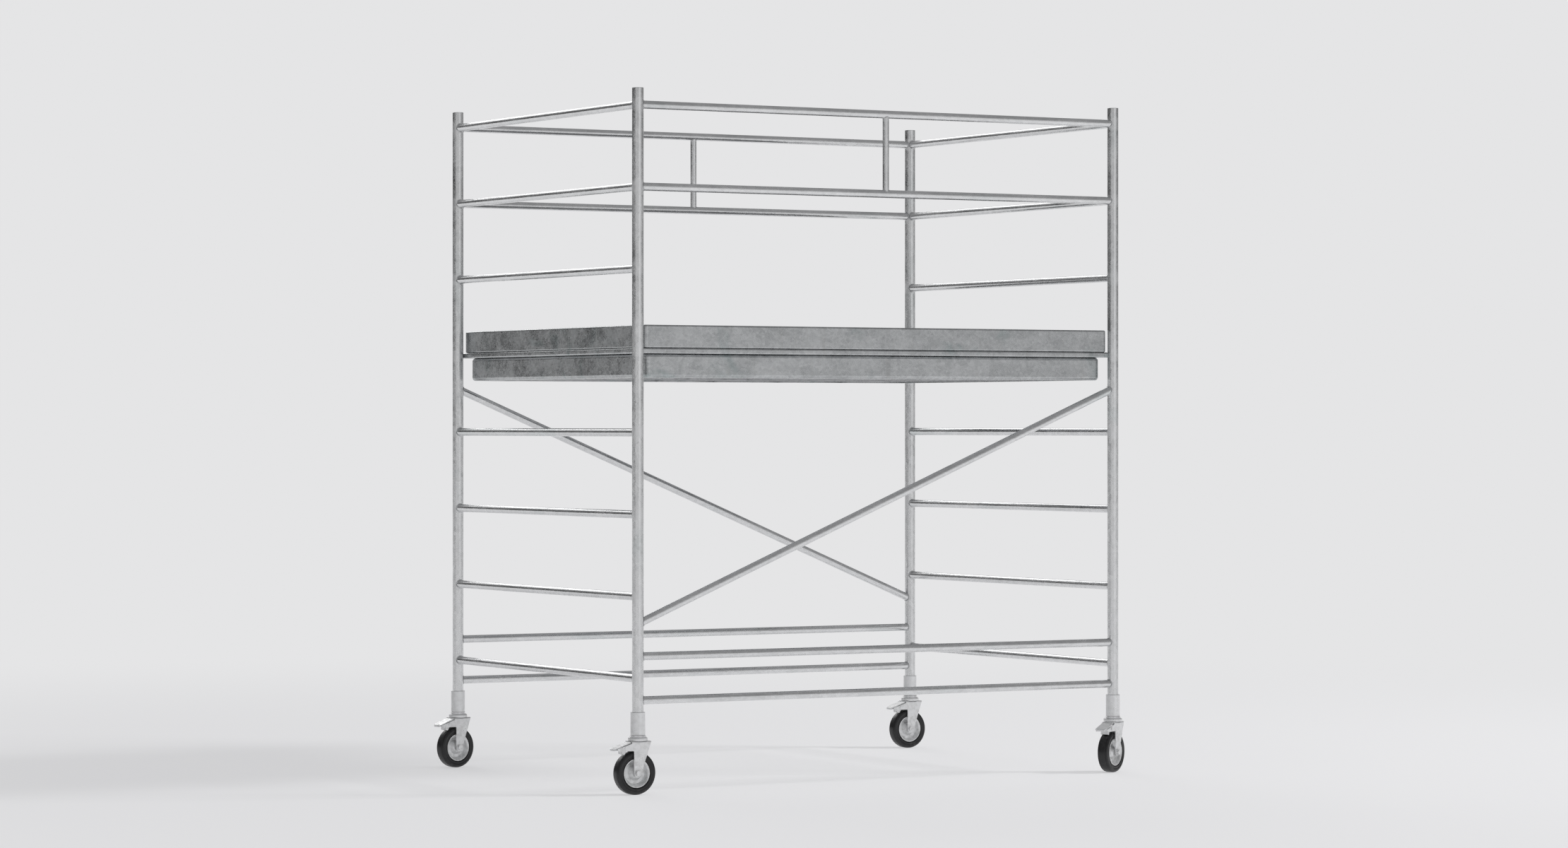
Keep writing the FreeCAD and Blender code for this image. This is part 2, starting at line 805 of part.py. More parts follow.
def build_hinges():
    third = "(hinge_length / 3)"
    starts = {
        "near": "hatch_left + hinge_end_distance",
        "far": "hatch_right - hinge_end_distance - hinge_length",
    }
    fixed, moving, pins = [], [], []
    for name, start in starts.items():
        for place, shift in {"a": "0", "c": f"2 * {third}"}.items():
            fixed.append(hinge_knuckle(f"hinge_{name}_{place}", f"{start} + {shift}", third, "fixed"))
        inset = f"{start} + {third} + hinge_play"
        moving.append(hinge_knuckle(f"hinge_{name}_b", inset, f"({third} - 2 * hinge_play)", "moving"))
        at = (f"{start} - hinge_pin_tail", "hinge_axis_y", "hinge_axis_z")
        length = "hinge_length + 2 * hinge_pin_tail"
        pins.append(rod(f"hinge_{name}_pin", "hinge_pin_diameter / 2", length, "X", at))
    node("hatch_hinge_fixed_leaves", group("fixed_leaves", fixed))
    node("hatch_hinge_moving_leaves", group("moving_leaves", moving))
    node("hatch_hinge_pins", group("hinge_pins", pins))


# Castor pieces that stay with the posts


def make_socket(name):
    """A sleeve whose inner ledge carries the post, over a pocket for the kingpin's nut."""
    body = new_body(name)
    corners = [
        ("kingpin_diameter / 2", "ring_top"),
        ("socket_diameter / 2", "ring_top"),
        ("socket_diameter / 2", "socket_top"),
        ("socket_bore", "socket_top"),
        ("socket_bore", "post_foot"),
        ("nut_pocket_diameter / 2", "post_foot"),
        ("nut_pocket_diameter / 2", "nut_seat"),
        ("kingpin_diameter / 2", "nut_seat"),
    ]
    revolve(body, outline(body, "half", "XZ_Plane", corners), "V_Axis")
    fillet(body, "rims", "socket_round", lambda e: ring_edge(e, ["socket_diameter / 2"]))
    return body


def make_cup(name):
    body = new_body(name)
    corners = [
        ("kingpin_diameter / 2", "cup_top - cup_plate"),
        ("cup_diameter / 2 - cup_wall", "cup_top - cup_plate"),
        ("cup_diameter / 2 - cup_wall", "cup_foot"),
        ("cup_diameter / 2", "cup_foot"),
        ("cup_diameter / 2", "cup_top"),
        ("kingpin_diameter / 2", "cup_top"),
    ]
    revolve(body, outline(body, "half", "XZ_Plane", corners), "V_Axis")
    top = "cup_diameter / 2"
    fillet(
        body,
        "shoulder",
        "cup_wall",
        lambda e: ring_edge(e, [top]) and e.Curve.Center.z > value("cup_top - cup_wall"),
    )
    return body


def make_ring(name):
    """A thrust ring with a groove round it."""
    body = new_body(name)
    lip, waist, step = (f"(ring_diameter / 2 - {inset})" for inset in ("0", "ring_groove", "ring_step"))
    corners = [
        ("kingpin_diameter / 2", "cup_top"),
        (lip, "cup_top"),
        (lip, "cup_top + ring_lip"),
        (waist, "cup_top + ring_groove_low"),
        (waist, "cup_top + ring_groove_high"),
        (step, "cup_top + ring_step_rise"),
        (step, "ring_top"),
        ("kingpin_diameter / 2", "ring_top"),
    ]
    revolve(body, outline(body, "half", "XZ_Plane", corners), "V_Axis")
    fillet(body, "lips", "ring_round", lambda e: ring_edge(e, [lip, step]))
    return body


def make_kingpin(name):
    head_top = "fork_top - crown_plate - swivel_gap"
    stem_top = "nut_seat + kingpin_nut + kingpin_tail"
    head = hexagon(
        f"{name}_head", "kingpin_hex", "kingpin_head", "Z", ("0", "0", f"{head_top} - kingpin_head")
    )
    stem = rod(
        f"{name}_stem",
        "kingpin_diameter / 2",
        f"{stem_top} - ({head_top})",
        "Z",
        ("0", "0", head_top),
    )
    seat = ("0", "0", "nut_seat")
    nut = hexagon(f"{name}_nut", "kingpin_hex", "kingpin_nut", "Z", seat)
    bore = rod(f"{name}_nut_bore", "kingpin_diameter / 2", "kingpin_nut", "Z", seat)
    bolt = fuse(f"{name}_bolt", [head, stem])
    return group(f"{name}_pair", [bolt, cut(f"{name}_nut_cut", nut, bore)])


def make_balls(name):
    balls = []
    for index in range(BALLS_PER_RING):
        ball = add("Part::Sphere", f"{name}_{index}")
        bind(ball, {"Radius": "ball_radius"})
        angle = 360 * index / BALLS_PER_RING
        x, y = f"ball_circle * cos({angle})", f"ball_circle * sin({angle})"
        balls.append(put(ball, x, y, "cup_top - cup_plate - ball_radius"))
    return group(f"{name}_set", balls)


# Castor pieces that swivel and roll. All are drawn about the swivel axis at floor level.


def build_fork(corner):
    body = new_body(f"fork_{corner}")
    boss_x, boss_z = "0 - trail", "axle_height"
    side = [
        ("-crown_back", "fork_top"),
        ("-crown_back", "fork_top - arm_root_drop"),
        ("-arm_reach", "fork_top - arm_tip_drop"),
        ("arm_tip_set_back - arm_reach", "fork_top - arm_depth"),
        (f"{boss_x} - fork_boss", "fork_top - arm_depth"),
        (f"{boss_x} - fork_boss", boss_z, "fork_boss"),
        (f"{boss_x} + fork_boss * cos(leg_tangent)", f"{boss_z} + fork_boss * sin(leg_tangent)"),
        ("leg_front", f"{boss_z} + leg_knee_rise"),
        ("crown_front", "fork_top"),
    ]
    symmetric(body, "Pad", outline(body, "side", "XZ_Plane", side), "2 * fork_half")
    mouth = [
        ("-fork_gap / 2", "0"),
        ("fork_gap / 2", "0"),
        ("fork_gap / 2", "fork_top - crown_plate"),
        ("-fork_gap / 2", "fork_top - crown_plate"),
    ]
    symmetric(body, "Pocket", outline(body, "mouth", "YZ_Plane", mouth), "4 * arm_reach")
    holes = {
        "axle": ("XZ_Plane", "-trail", "axle_height", "axle_diameter / 2 + axle_hole_clearance"),
        "pedal": ("XZ_Plane", "pin_x", "pin_z", "pedal_pin_diameter / 2"),
        "kingpin": ("XY_Plane", "0", "0", "kingpin_diameter / 2 + kingpin_clearance"),
    }
    for name, hole in holes.items():
        symmetric(body, "Pocket", circle_sketch(body, name, *hole), "4 * fork_top")
    fillet(body, "bend", "fork_bend", fork_bend_edge)
    fillet(body, "notch", "fork_notch", fork_notch_edge)
    castor_node("fork", body, corner)


def fork_bend_edge(edge):
    centre, direction = edge.BoundBox.Center, edge.tangentAt(edge.FirstParameter)
    outside = abs(abs(centre.y) - value("fork_half")) < 0.01
    return outside and abs(direction.x) > 0.999 and centre.z > value("fork_top") - 0.01


def fork_notch_edge(edge):
    centre, direction = edge.BoundBox.Center, edge.tangentAt(edge.FirstParameter)
    at_leg = abs(centre.x + value("trail + fork_boss")) < 0.01
    at_arm = abs(centre.z - value("fork_top - arm_depth")) < 0.01
    return at_leg and at_arm and abs(direction.y) > 0.999


def build_pedal(corner):
    body = new_body(f"pedal_{corner}")
    root_z, tip_z = "(fork_top - pedal_root_drop)", "(fork_top - pedal_tip_drop)"
    plate = [
        ("-pedal_root", root_z),
        ("pedal_plate - pedal_reach", tip_z),
        ("-pedal_reach", f"{tip_z} - pedal_plate"),
        ("-pedal_reach", f"{tip_z} - pedal_lip"),
        ("pedal_plate - pedal_reach", f"{tip_z} - pedal_lip"),
        ("pedal_plate - pedal_reach", f"{tip_z} - pedal_plate"),
        ("-pedal_root", f"{root_z} - pedal_plate"),
    ]
    sketch = outline(body, "plate", "XZ_Plane", plate)
    symmetric(body, "Pad", sketch, "fork_gap - 2 * pedal_side_gap")
    edge_y = "(fork_gap / 2 - pedal_side_gap)"
    for name, sign, turn in (("near", "-1", 1), ("far", "1", -1)):
        corner_cut = [
            ("0 - pedal_reach - cut_margin", f"{sign} * ({edge_y} - pedal_corner)"),
            ("pedal_corner - pedal_reach", f"{sign} * ({edge_y} + cut_margin)"),
            ("0 - pedal_reach - cut_margin", f"{sign} * ({edge_y} + cut_margin)"),
        ][::turn]
        symmetric(body, "Pocket", outline(body, name, "XY_Plane", corner_cut), "4 * fork_top")
    shade = f"{root_z} - pedal_plate / 2 - pedal_slope"
    tail_x = "(pin_x - cam_reach * sin(cam_tail_angle - 90))"
    front_x = "(pin_x + cam_front)"
    cam = [
        (tail_x, "pin_z - cam_reach * cos(cam_tail_angle - 90)", "cam_reach"),
        ("pin_x - cam_reach * sin(cam_lead_angle - 90)", "pin_z - cam_reach * cos(cam_lead_angle - 90)"),
        (front_x, "pin_z - cam_front_drop"),
        (front_x, f"{shade} * (0 - pedal_root - {front_x})"),
        (tail_x, f"{shade} * (0 - pedal_root - {tail_x})"),
    ]
    symmetric(body, "Pad", outline(body, "cam", "XZ_Plane", cam), "cam_width")
    hole = circle_sketch(
        body, "pin", "XZ_Plane", "pin_x", "pin_z", "pedal_pin_diameter / 2 + pedal_pin_clearance"
    )
    symmetric(body, "Pocket", hole, "2 * cam_width")
    castor_node("brake_pedal", body, corner)


def build_pins(corner):
    """Axle bolt with its nut, and the riveted pin of the pedal."""
    name = f"pins_{corner}"
    axle = ("-trail", "axle_height")
    head_y = "0 - fork_half - washer_plate - axle_head"
    end_y = "fork_half + washer_plate + axle_nut + axle_tail"
    stock = "axle_diameter / 2"
    shank = rod(f"{name}_shank", stock, f"{end_y} - ({head_y})", "Y", (axle[0], head_y, axle[1]))
    head = hexagon(f"{name}_head", "axle_hex", "axle_head", "Y", (axle[0], head_y, axle[1]))
    near_at = (axle[0], "0 - fork_half - washer_plate", axle[1])
    near = rod(f"{name}_near_washer", "washer_diameter / 2", "washer_plate", "Y", near_at)
    bolt = fuse(f"{name}_bolt", [shank, head, near])
    far_at = (axle[0], "fork_half", axle[1])
    far = rod(f"{name}_far_washer", "washer_diameter / 2", "washer_plate", "Y", far_at)
    nut_at = (axle[0], "fork_half + washer_plate", axle[1])
    hex_nut = hexagon(f"{name}_nut", "axle_hex", "axle_nut", "Y", nut_at)
    bore = rod(f"{name}_nut_bore", stock, "washer_plate + axle_nut + cut_margin", "Y", far_at)
    nut_solid = cut(f"{name}_nut_cut", fuse(f"{name}_nut_fuse", [hex_nut, far]), bore)
    rivet_at = ("pin_x", "0 - fork_half - rivet_head / 2", "pin_z")
    rivet = rod(f"{name}_rivet", "pedal_pin_diameter / 2", "2 * fork_half + rivet_head", "Y", rivet_at)
    heads = [
        rod(f"{name}_rivet_{side}", "rivet_head_diameter / 2", "rivet_head", "Y", ("pin_x", y, "pin_z"))
        for side, y in {"near": "0 - fork_half - rivet_head", "far": "fork_half"}.items()
    ]
    pin = fuse(f"{name}_pin", [rivet, *heads])
    castor_node("axle_and_pedal_pins", group(f"{name}_group", [bolt, nut_solid, pin]), corner)


def wheel_outline(body, name, half):
    """Half outlines of (along the axle, radius) pairs, closed and set at the axle."""
    return outline(body, name, "YZ_Plane", both_halves(half), ("axle_height", "-trail"))


def build_wheel(corner):
    half_tyre, half_seat = "(tyre_width / 2)", "(rim_seat_width / 2)"
    tread, radius, lip = "(tread_width / 2)", "(wheel_diameter / 2)", "(rim_lip_diameter / 2)"
    tyre = new_body(f"tyre_{corner}")
    tyre_half = [
        (tread, radius),
        (f"{tread} + tread_groove_near", f"{radius} - tread_groove_depth"),
        (f"{tread} + tread_groove_far", f"{radius} - tread_groove_depth"),
        (f"{tread} + tread_groove_out", f"{radius} - shoulder_drop"),
        (half_tyre, f"{radius} - sidewall_drop"),
        (half_tyre, f"{lip} + sidewall_drop"),
        (half_seat, f"{lip} + bead_rise"),
        (half_seat, "rim_seat_diameter / 2"),
    ]
    revolve(tyre, wheel_outline(tyre, "section", tyre_half), "H_Axis")
    walls = [f"{radius} - sidewall_drop", f"{lip} + sidewall_drop"]
    fillet(tyre, "walls", "sidewall_round", lambda e: ring_edge(e, walls))
    fillet(tyre, "shoulders", "shoulder_round", lambda e: ring_edge(e, [f"{radius} - shoulder_drop"]))
    castor_node("tyre", tyre, corner)

    wheel = new_body(f"wheel_{corner}")
    seat, hub = "(rim_seat_diameter / 2)", "(hub_diameter / 2)"
    hub_face = "(fork_gap / 2 - bush_side_gap - hub_recess)"
    wheel_half = [
        (half_seat, seat),
        (half_seat, lip),
        (f"{half_seat} + rim_lip", lip),
        (f"{half_seat} + rim_lip", f"{lip} - rim_lip"),
        (f"{half_seat} - rim_set_in", f"{seat} - rim_sheet"),
        ("wheel_web / 2 + dish_rise", f"{seat} - dish_top_drop"),
        ("wheel_web / 2", f"{seat} - dish_foot_drop"),
        ("wheel_web / 2", f"{hub} + hub_flare_foot"),
        ("wheel_web / 2 + hub_flare_rise", f"{hub} + hub_flare_top"),
        (f"{hub_face} - hub_barrel", hub),
        (hub_face, hub),
        (hub_face, "bush_diameter / 2"),
    ]
    revolve(wheel, wheel_outline(wheel, "section", wheel_half), "H_Axis")
    dish = [
        f"{seat} - dish_top_drop",
        f"{seat} - dish_foot_drop",
        f"{hub} + hub_flare_foot",
        f"{hub} + hub_flare_top",
    ]
    fillet(wheel, "dish", "dish_round", lambda e: ring_edge(e, dish))
    fillet(wheel, "lip", "rim_lip_round", lambda e: ring_edge(e, [lip, f"{lip} - rim_lip"]))
    castor_node("wheel_rim", wheel, corner)

    bush = new_body(f"bush_{corner}")
    bush_half = [
        ("fork_gap / 2 - bush_side_gap", "axle_diameter / 2 + bush_clearance"),
        ("fork_gap / 2 - bush_side_gap", "bush_diameter / 2"),
    ]
    revolve(bush, wheel_outline(bush, "section", bush_half), "H_Axis")
    castor_node("wheel_bush", bush, corner)


# Checks and export


def check_document():
    DOC.recompute()
    for thing in DOC.Objects:
        bad = [state for state in thing.State if state in ("Invalid", "Error")]
        if bad:
            raise RuntimeError(f"{thing.Label} is {bad}")
    for thing in NODES:
        if thing.Shape.isNull() or not thing.Shape.isValid() or not thing.Shape.Solids:
            raise RuntimeError(f"{thing.Label} has no valid solid")
        if any(solid.Volume <= 0 for solid in thing.Shape.Solids):
            raise RuntimeError(f"{thing.Label} has an empty solid")


def export_nodes():
    os.makedirs("parts", exist_ok=True)
    for thing in NODES:
        thing.Shape.exportStep(os.path.join("parts", f"{thing.Label}.step"))
        print(f"{thing.Label}: {len(thing.Shape.Solids)} solids, {thing.Shape.Volume / 1000:.1f} cm3")


def main():
    fill_sheet()
    envelopes = post_envelopes()
    build_posts()
    build_rungs(envelopes)
    build_long_rails(envelopes)
    build_struts()
    build_braces(envelopes)
    build_platform_rings(envelopes)
    build_joists()
    build_deck_panels()
    build_hatch()
    build_hinges()
    corner_group("castor_sockets", make_socket)
    corner_group("castor_bearing_cups", make_cup)
    corner_group("castor_thrust_rings", make_ring)
    corner_group("castor_kingpins", make_kingpin)
    corner_group("castor_bearing_balls", make_balls)
    for corner in CORNERS:
        build_fork(corner)
        build_pedal(corner)
        build_pins(corner)
        build_wheel(corner)
    check_document()
    export_nodes()


main()
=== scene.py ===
import math
from itertools import count

import bpy
import numpy as np
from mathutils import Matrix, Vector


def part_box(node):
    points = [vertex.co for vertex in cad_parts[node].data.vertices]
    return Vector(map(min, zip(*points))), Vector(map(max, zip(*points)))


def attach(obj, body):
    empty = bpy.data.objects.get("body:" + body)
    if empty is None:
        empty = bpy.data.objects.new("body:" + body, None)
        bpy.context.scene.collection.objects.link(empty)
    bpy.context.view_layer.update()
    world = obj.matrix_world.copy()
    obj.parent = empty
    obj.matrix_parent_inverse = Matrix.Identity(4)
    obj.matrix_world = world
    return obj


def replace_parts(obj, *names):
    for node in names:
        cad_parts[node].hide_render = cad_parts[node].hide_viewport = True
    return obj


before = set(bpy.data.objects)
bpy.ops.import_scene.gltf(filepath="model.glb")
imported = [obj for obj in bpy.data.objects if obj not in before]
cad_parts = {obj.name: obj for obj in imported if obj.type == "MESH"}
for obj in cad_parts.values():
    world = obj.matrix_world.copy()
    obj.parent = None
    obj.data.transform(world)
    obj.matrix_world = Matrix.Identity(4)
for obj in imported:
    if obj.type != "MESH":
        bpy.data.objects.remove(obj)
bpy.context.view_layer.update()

TAU = 2 * math.pi
UP = np.array([0.0, 0.0, 1.0])
ALONG_X = np.array([1.0, 0.0, 0.0])

# Sizes of the tubes, folded channels and castor rings, in metres.
POST_RADIUS, POST_WALL = 0.0212, 0.0026
RAIL_RADIUS, RAIL_WALL = 0.015, 0.0025
STRUT_RADIUS, STRUT_WALL, STRUT_SHIFT = 0.012, 0.002, 0.013
RUNG_PITCH = 0.300
RUNG_STEPS = (-4, -3, -2, -1, 1, 2, 3)  # counted from the platform
BASE_RISES, BRACE_RISE, BRACE_DROP = (0.102, 0.263), 0.382, 0.131
BEAD, SMALL_BEAD = 0.0024, 0.0018
SHEET, LEAST_BEND = 0.003, 0.0004
KINGPIN_RADIUS, NUT_POCKET, SOCKET_FLOOR = 0.008, 0.016, 0.006
SOCKET_RADIUS, POST_PLAY = 0.027, 0.0001
CUP_RADIUS, CUP_MOUTH, CUP_PLATE = 0.036, 0.033, 0.0037
RACE_RADIUS, RACE_NECK, RACE_TOP = 0.031, 0.0275, 0.0295

CORNERS = ("front_left", "back_left", "front_right", "back_right")
SIDES = ("front", "right", "back", "left")


def corners_of(node):
    low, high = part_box(node)
    return np.array(low), np.array(high)


def post_axis(corner):
    """The middle of a post in plan. Posts stand on whole millimetres."""
    low, high = corners_of(f"post_{corner}")
    return np.round((low + high)[:2] / 2, 3)


POSTS = {corner: post_axis(corner) for corner in CORNERS}
POST_FOOT, POST_TOP = (value[2] for value in corners_of("post_front_left"))
DECK_UNDER, DECK_TOP = (value[2] for value in corners_of("deck_rim"))
PLATFORM = (DECK_UNDER + DECK_TOP) / 2
MIDDLE = sum(POSTS.values()) / 4


# ---------------------------------------------------------------- surfaces


def grid_faces(rows, columns, close_rows, close_columns):
    """Quads between neighbours of a grid of points, numbered row by row. A closed way joins end to start."""
    i = np.arange(rows if close_rows else rows - 1)
    j = np.arange(columns if close_columns else columns - 1)
    i, j = (a.ravel() for a in np.meshgrid(i, j, indexing="ij"))
    here, below, beside = i * columns, (i + 1) % rows * columns, (j + 1) % columns
    return np.stack([here + j, below + j, below + beside, here + beside], 1)


def shell(grid, close_rows=True, close_columns=True):
    """A grid of points as (points, quads)."""
    rows, columns = grid.shape[:2]
    return grid.reshape(-1, 3), grid_faces(rows, columns, close_rows, close_columns)


def outward(points, faces):
    """The faces, turned round if the volume they close is negative: the sum of a . (b x c) over triangles."""
    a, b, c, d = (points[faces[:, k]] for k in range(4))
    middle = points.mean(0)
    a, b, c, d = a - middle, b - middle, c - middle, d - middle
    volume = np.einsum("ij,ij->i", a, np.cross(b, c)) + np.einsum("ij,ij->i", a, np.cross(c, d))
    return faces[:, ::-1] if volume.sum() < 0 else faces


def piece(name, shells, body, material, sharp=38):
    """One object of closed shells, smooth except over edges sharper than `sharp` degrees."""
    points, faces, start = [], [], 0
    for shell_points, shell_quads in shells:
        faces.append(outward(shell_points, shell_quads) + start)
        points.append(shell_points)
        start += len(shell_points)
    points, faces = np.concatenate(points), np.concatenate(faces)
    mesh = bpy.data.meshes.new(name)
    mesh.from_pydata(points.tolist(), [], faces.tolist())
    mesh.validate()
    mesh.shade_smooth()
    mesh.set_sharp_from_angle(angle=math.radians(sharp))
    mesh.materials.append(material)
    thing = bpy.data.objects.new(name, mesh)
    bpy.context.scene.collection.objects.link(thing)
    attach(thing, body)
    return thing


def unit(vector):
    return vector / np.linalg.norm(vector)


def basis(along):
    """Two unit vectors square to `along` and to each other."""
    side = np.cross(along, UP)
    side = unit(side) if np.linalg.norm(side) > 1e-6 else np.array([1.0, 0.0, 0.0])
    return side, np.cross(side, along)


def round_turn(steps):
    return np.arange(steps) * TAU / steps


def cope(along, spokes, radius, main_axis, main_radius):
    """Distance s along a branch tube at which each of its lines leaves the main tube: the larger root of
    |across(s a + r n)| = R, where across() drops the part along the main axis."""
    def across(v):
        return v - (v @ main_axis)[..., None] * main_axis
    a, n = across(along), radius * across(spokes)
    square, cross, rest = a @ a, n @ a, np.einsum("ij,ij->i", n, n) - main_radius**2
    return (-cross + np.sqrt(np.maximum(cross**2 - square * rest, 0))) / square


def coped_tube(start, end, radius, wall, main_axis, main_radius, turns=40):
    """A pipe between two main tubes' axes: outer and inner cylinders r (cos t u + sin t v) + s a, with both
    ends coped."""
    start, end = np.array(start, float), np.array(end, float)
    along, length = unit(end - start), np.linalg.norm(end - start)
    u, v = basis(along)
    t = round_turn(turns)[:, None]
    spokes = np.cos(t) * u + np.sin(t) * v
    rows = []
    for r in (radius, radius - wall):
        near = cope(along, spokes, r, main_axis, main_radius)
        far = length - cope(-along, spokes, r, main_axis, main_radius)
        ends = [start + near[:, None] * along + r * spokes, start + far[:, None] * along + r * spokes]
        rows += ends if r == radius else ends[::-1]
    return shell(np.stack(rows))


def weld_bead(root, toward, radius, main_axis, main_radius, size, seed, turns=72, section=8):
    """A fillet weld round a branch tube's foot: a rod whose middle follows the cope line and whose radius is
    size (1 + 0.16 |sin(k t)| + noise), with one ripple for about every 4 mm that the torch moved."""
    along = unit(np.array(toward, float) - np.array(root, float))
    u, v = basis(along)
    t = round_turn(turns)[:, None]
    spokes = np.cos(t) * u + np.sin(t) * v
    s = cope(along, spokes, radius, main_axis, main_radius)
    line = np.array(root) + s[:, None] * along + radius * spokes
    q = s[:, None] * along + radius * spokes
    q = q - (q @ main_axis)[:, None] * main_axis
    away = q / np.linalg.norm(q, axis=1)[:, None]
    random = np.random.default_rng(seed)
    phase = random.uniform(0, TAU, 3)
    wander = sum(np.sin(k * t + p) for k, p in zip((2, 3, 5), phase)) / 3
    ripples = round(TAU * radius / 0.004)
    thick = size * (1 + 0.16 * np.abs(np.sin(ripples * t / 2 + phase[0])) + 0.10 * wander)
    w = round_turn(section)[None, :, None]
    ring = np.cos(w) * spokes[:, None] + np.sin(w) * away[:, None]
    return shell(line[:, None] + thick[:, None] * ring)


def arc_corners(points, radii, steps=5):
    """A closed outline with its corners rounded: each becomes an arc tangent to both its sides."""
    points = np.array(points, float)
    before, after = np.roll(points, 1, 0), np.roll(points, -1, 0)
    made = []
    for p, a, b, r in zip(points, before, after, radii):
        if r == 0:
            made.append(p[None])
            continue
        to_a, to_b = unit(a - p), unit(b - p)
        half = math.acos(np.clip(to_a @ to_b, -1, 1)) / 2
        centre = p + unit(to_a + to_b) * r / math.sin(half)
        first, last = p + to_a * r / math.tan(half), p + to_b * r / math.tan(half)
        share = np.linspace(0, 1, steps)[:, None]
        bow = (1 - share) * (first - centre) + share * (last - centre)
        made.append(centre + r * bow / np.linalg.norm(bow, axis=1)[:, None])
    return np.concatenate(made)


def held(outline, gap=0.0008):
    """A closed outline with a point close to both ends of every long straight, so that smooth shading
    keeps it flat."""
    made = []
    for p, q in zip(outline, np.roll(outline, -1, 0)):
        made.append(p)
        if np.linalg.norm(q - p) > 5 * gap:
            step = unit(q - p) * gap
            made += [p + step, q - step]
    return np.array(made)


def turned(profile, centre, turns=64):
    """A closed (radius, height) outline turned about an upright axis: (r cos t, r sin t, z)."""
    t = round_turn(turns)[None, :]
    r, z = profile[:, 0][:, None], profile[:, 1][:, None]
    grid = np.stack([centre[0] + r * np.cos(t), centre[1] + r * np.sin(t), z + 0 * t], -1)
    return shell(grid)


def rolled(profile, centre, axle, turns=96):
    """A closed (along the axle, radius) outline turned about the axle: c + a e + r (cos t u + sin t v)."""
    u, v = basis(axle)
    t = round_turn(turns)[None, :, None]
    a, r = profile[:, 0][:, None, None], profile[:, 1][:, None, None]
    return shell(centre + a * axle + r * (np.cos(t) * u + np.sin(t) * v))


def ring_path(half_x, half_y, corner, inset, side, steps=7):
    """Half a corner arc, a straight run and half an arc of a rounded rectangle, `inset` inwards from its
    edge. Past the corner radius the arc shrinks to the point on the mitre line."""
    along, across = (half_x, half_y) if side in ("front", "back") else (half_y, half_x)
    turn = {"front": 0, "right": 90, "back": 180, "left": 270}[side]
    left = np.linspace(225, 270, steps)
    right = np.linspace(270, 315, steps)
    reach = max(corner - inset, 0)
    shrink = max(inset, corner)
    run = along - shrink
    x = np.concatenate([-run + reach * np.cos(np.radians(left)), run + reach * np.cos(np.radians(right))])
    y = -(across - shrink) + reach * np.sin(np.radians(np.concatenate([left, right])))
    c, s = math.cos(math.radians(turn)), math.sin(math.radians(turn))
    return np.stack([c * x - s * y, s * x + c * y], -1)


def folded_side(half, low, high, flange, corner, fold, side, lead=0.002):
    """One side of a folded channel ring. Its section is a C of sheet with folded corners, carried along
    ring_path, with points `lead` inside the ends of its straight run. The flat ends are the mitres."""
    inner_fold = max(fold - SHEET, LEAST_BEND)
    section = arc_corners(
        [(flange, low), (0, low), (0, high), (flange, high), (flange, high - SHEET), (SHEET, high - SHEET),
         (SHEET, low + SHEET), (flange, low + SHEET)],
        [0, fold, fold, 0, 0, inner_fold, inner_fold, 0],
    )
    edge = ring_path(*half, corner, 0.0, side)
    split = int(np.argmax(np.linalg.norm(np.diff(edge, axis=0), axis=1))) + 1
    grid = []
    for inset, z in held(section):
        path = ring_path(*half, corner, inset, side)
        step = unit(path[split] - path[split - 1]) * lead
        path = np.insert(path, split, [path[split - 1] + step, path[split] - step], 0)
        grid.append(np.column_stack([path + MIDDLE, np.full(len(path), z)]))
    grid = np.stack(grid)
    points, quads = shell(grid, close_columns=False)
    rows, columns = grid.shape[:2]
    outer = np.arange(rows // 2)
    inner = rows - 1 - outer
    caps = []
    for column in (0, columns - 1):
        strip = np.stack([outer[:-1], outer[1:], inner[1:], inner[:-1]], 1) * columns + column
        caps.append(strip if column else strip[:, ::-1])
    return points, np.concatenate([quads, *caps])


def scattered(template, quads, places, turns):
    """The same small shape at many places: each copy is turned about Z and moved, as whole arrays."""
    c, s = np.cos(turns)[:, None], np.sin(turns)[:, None]
    x = template[None, :, 0] * c - template[None, :, 1] * s
    y = template[None, :, 0] * s + template[None, :, 1] * c
    points = np.stack([x, y, np.broadcast_to(template[None, :, 2], x.shape)], -1) + places[:, None]
    faces = quads[None] + (np.arange(len(places)) * len(template))[:, None, None]
    return points.reshape(-1, 3), faces.reshape(-1, 4)


def button(long, wide, high, sink=0.0003, turns=12):
    """A low dome over an ellipse: rings (a k cos t, b k sin t, h) whose share k falls as the height h rises,
    closed above and underneath."""
    shares = np.array([0.02, 1.0, 1.0, 0.82, 0.5, 0.02])
    heights = np.array([-sink, -sink, 0.0, high * 0.57, high * 0.87, high])
    t = round_turn(turns)[None, :]
    k, z = shares[:, None], heights[:, None]
    grid = np.stack([long / 2 * k * np.cos(t), wide / 2 * k * np.sin(t), z + 0 * t], -1)
    points, quads = shell(grid, close_rows=False)
    k = np.arange(1, turns - 2, 2)
    lid = np.stack([0 * k, k, k + 1, k + 2], 1)
    return points, np.concatenate([quads, lid, (len(shares) - 1) * turns + lid[:, ::-1]])


# ---------------------------------------------------------------- materials


def feed(tree, target, value):
    """Links a socket to an input, or sets the input's own value."""
    if isinstance(value, bpy.types.NodeSocket):
        tree.links.new(value, target)
    else:
        target.default_value = value


def add(tree, kind, settings=None, **sockets):
    """A node with its settings, and its inputs set or linked by name ('Scale') or place ('_0')."""
    made = tree.nodes.new(kind)
    for key, value in (settings or {}).items():
        setattr(made, key, value)
    for key, value in sockets.items():
        feed(tree, made.inputs[int(key[1:]) if key[0] == "_" else key.replace("_", " ")], value)
    return made


def math_node(tree, operation, a, b=0.5, c=0.5, clamp=False):
    made = add(tree, "ShaderNodeMath", {"operation": operation, "use_clamp": clamp}, _0=a, _1=b, _2=c)
    return made.outputs[0]


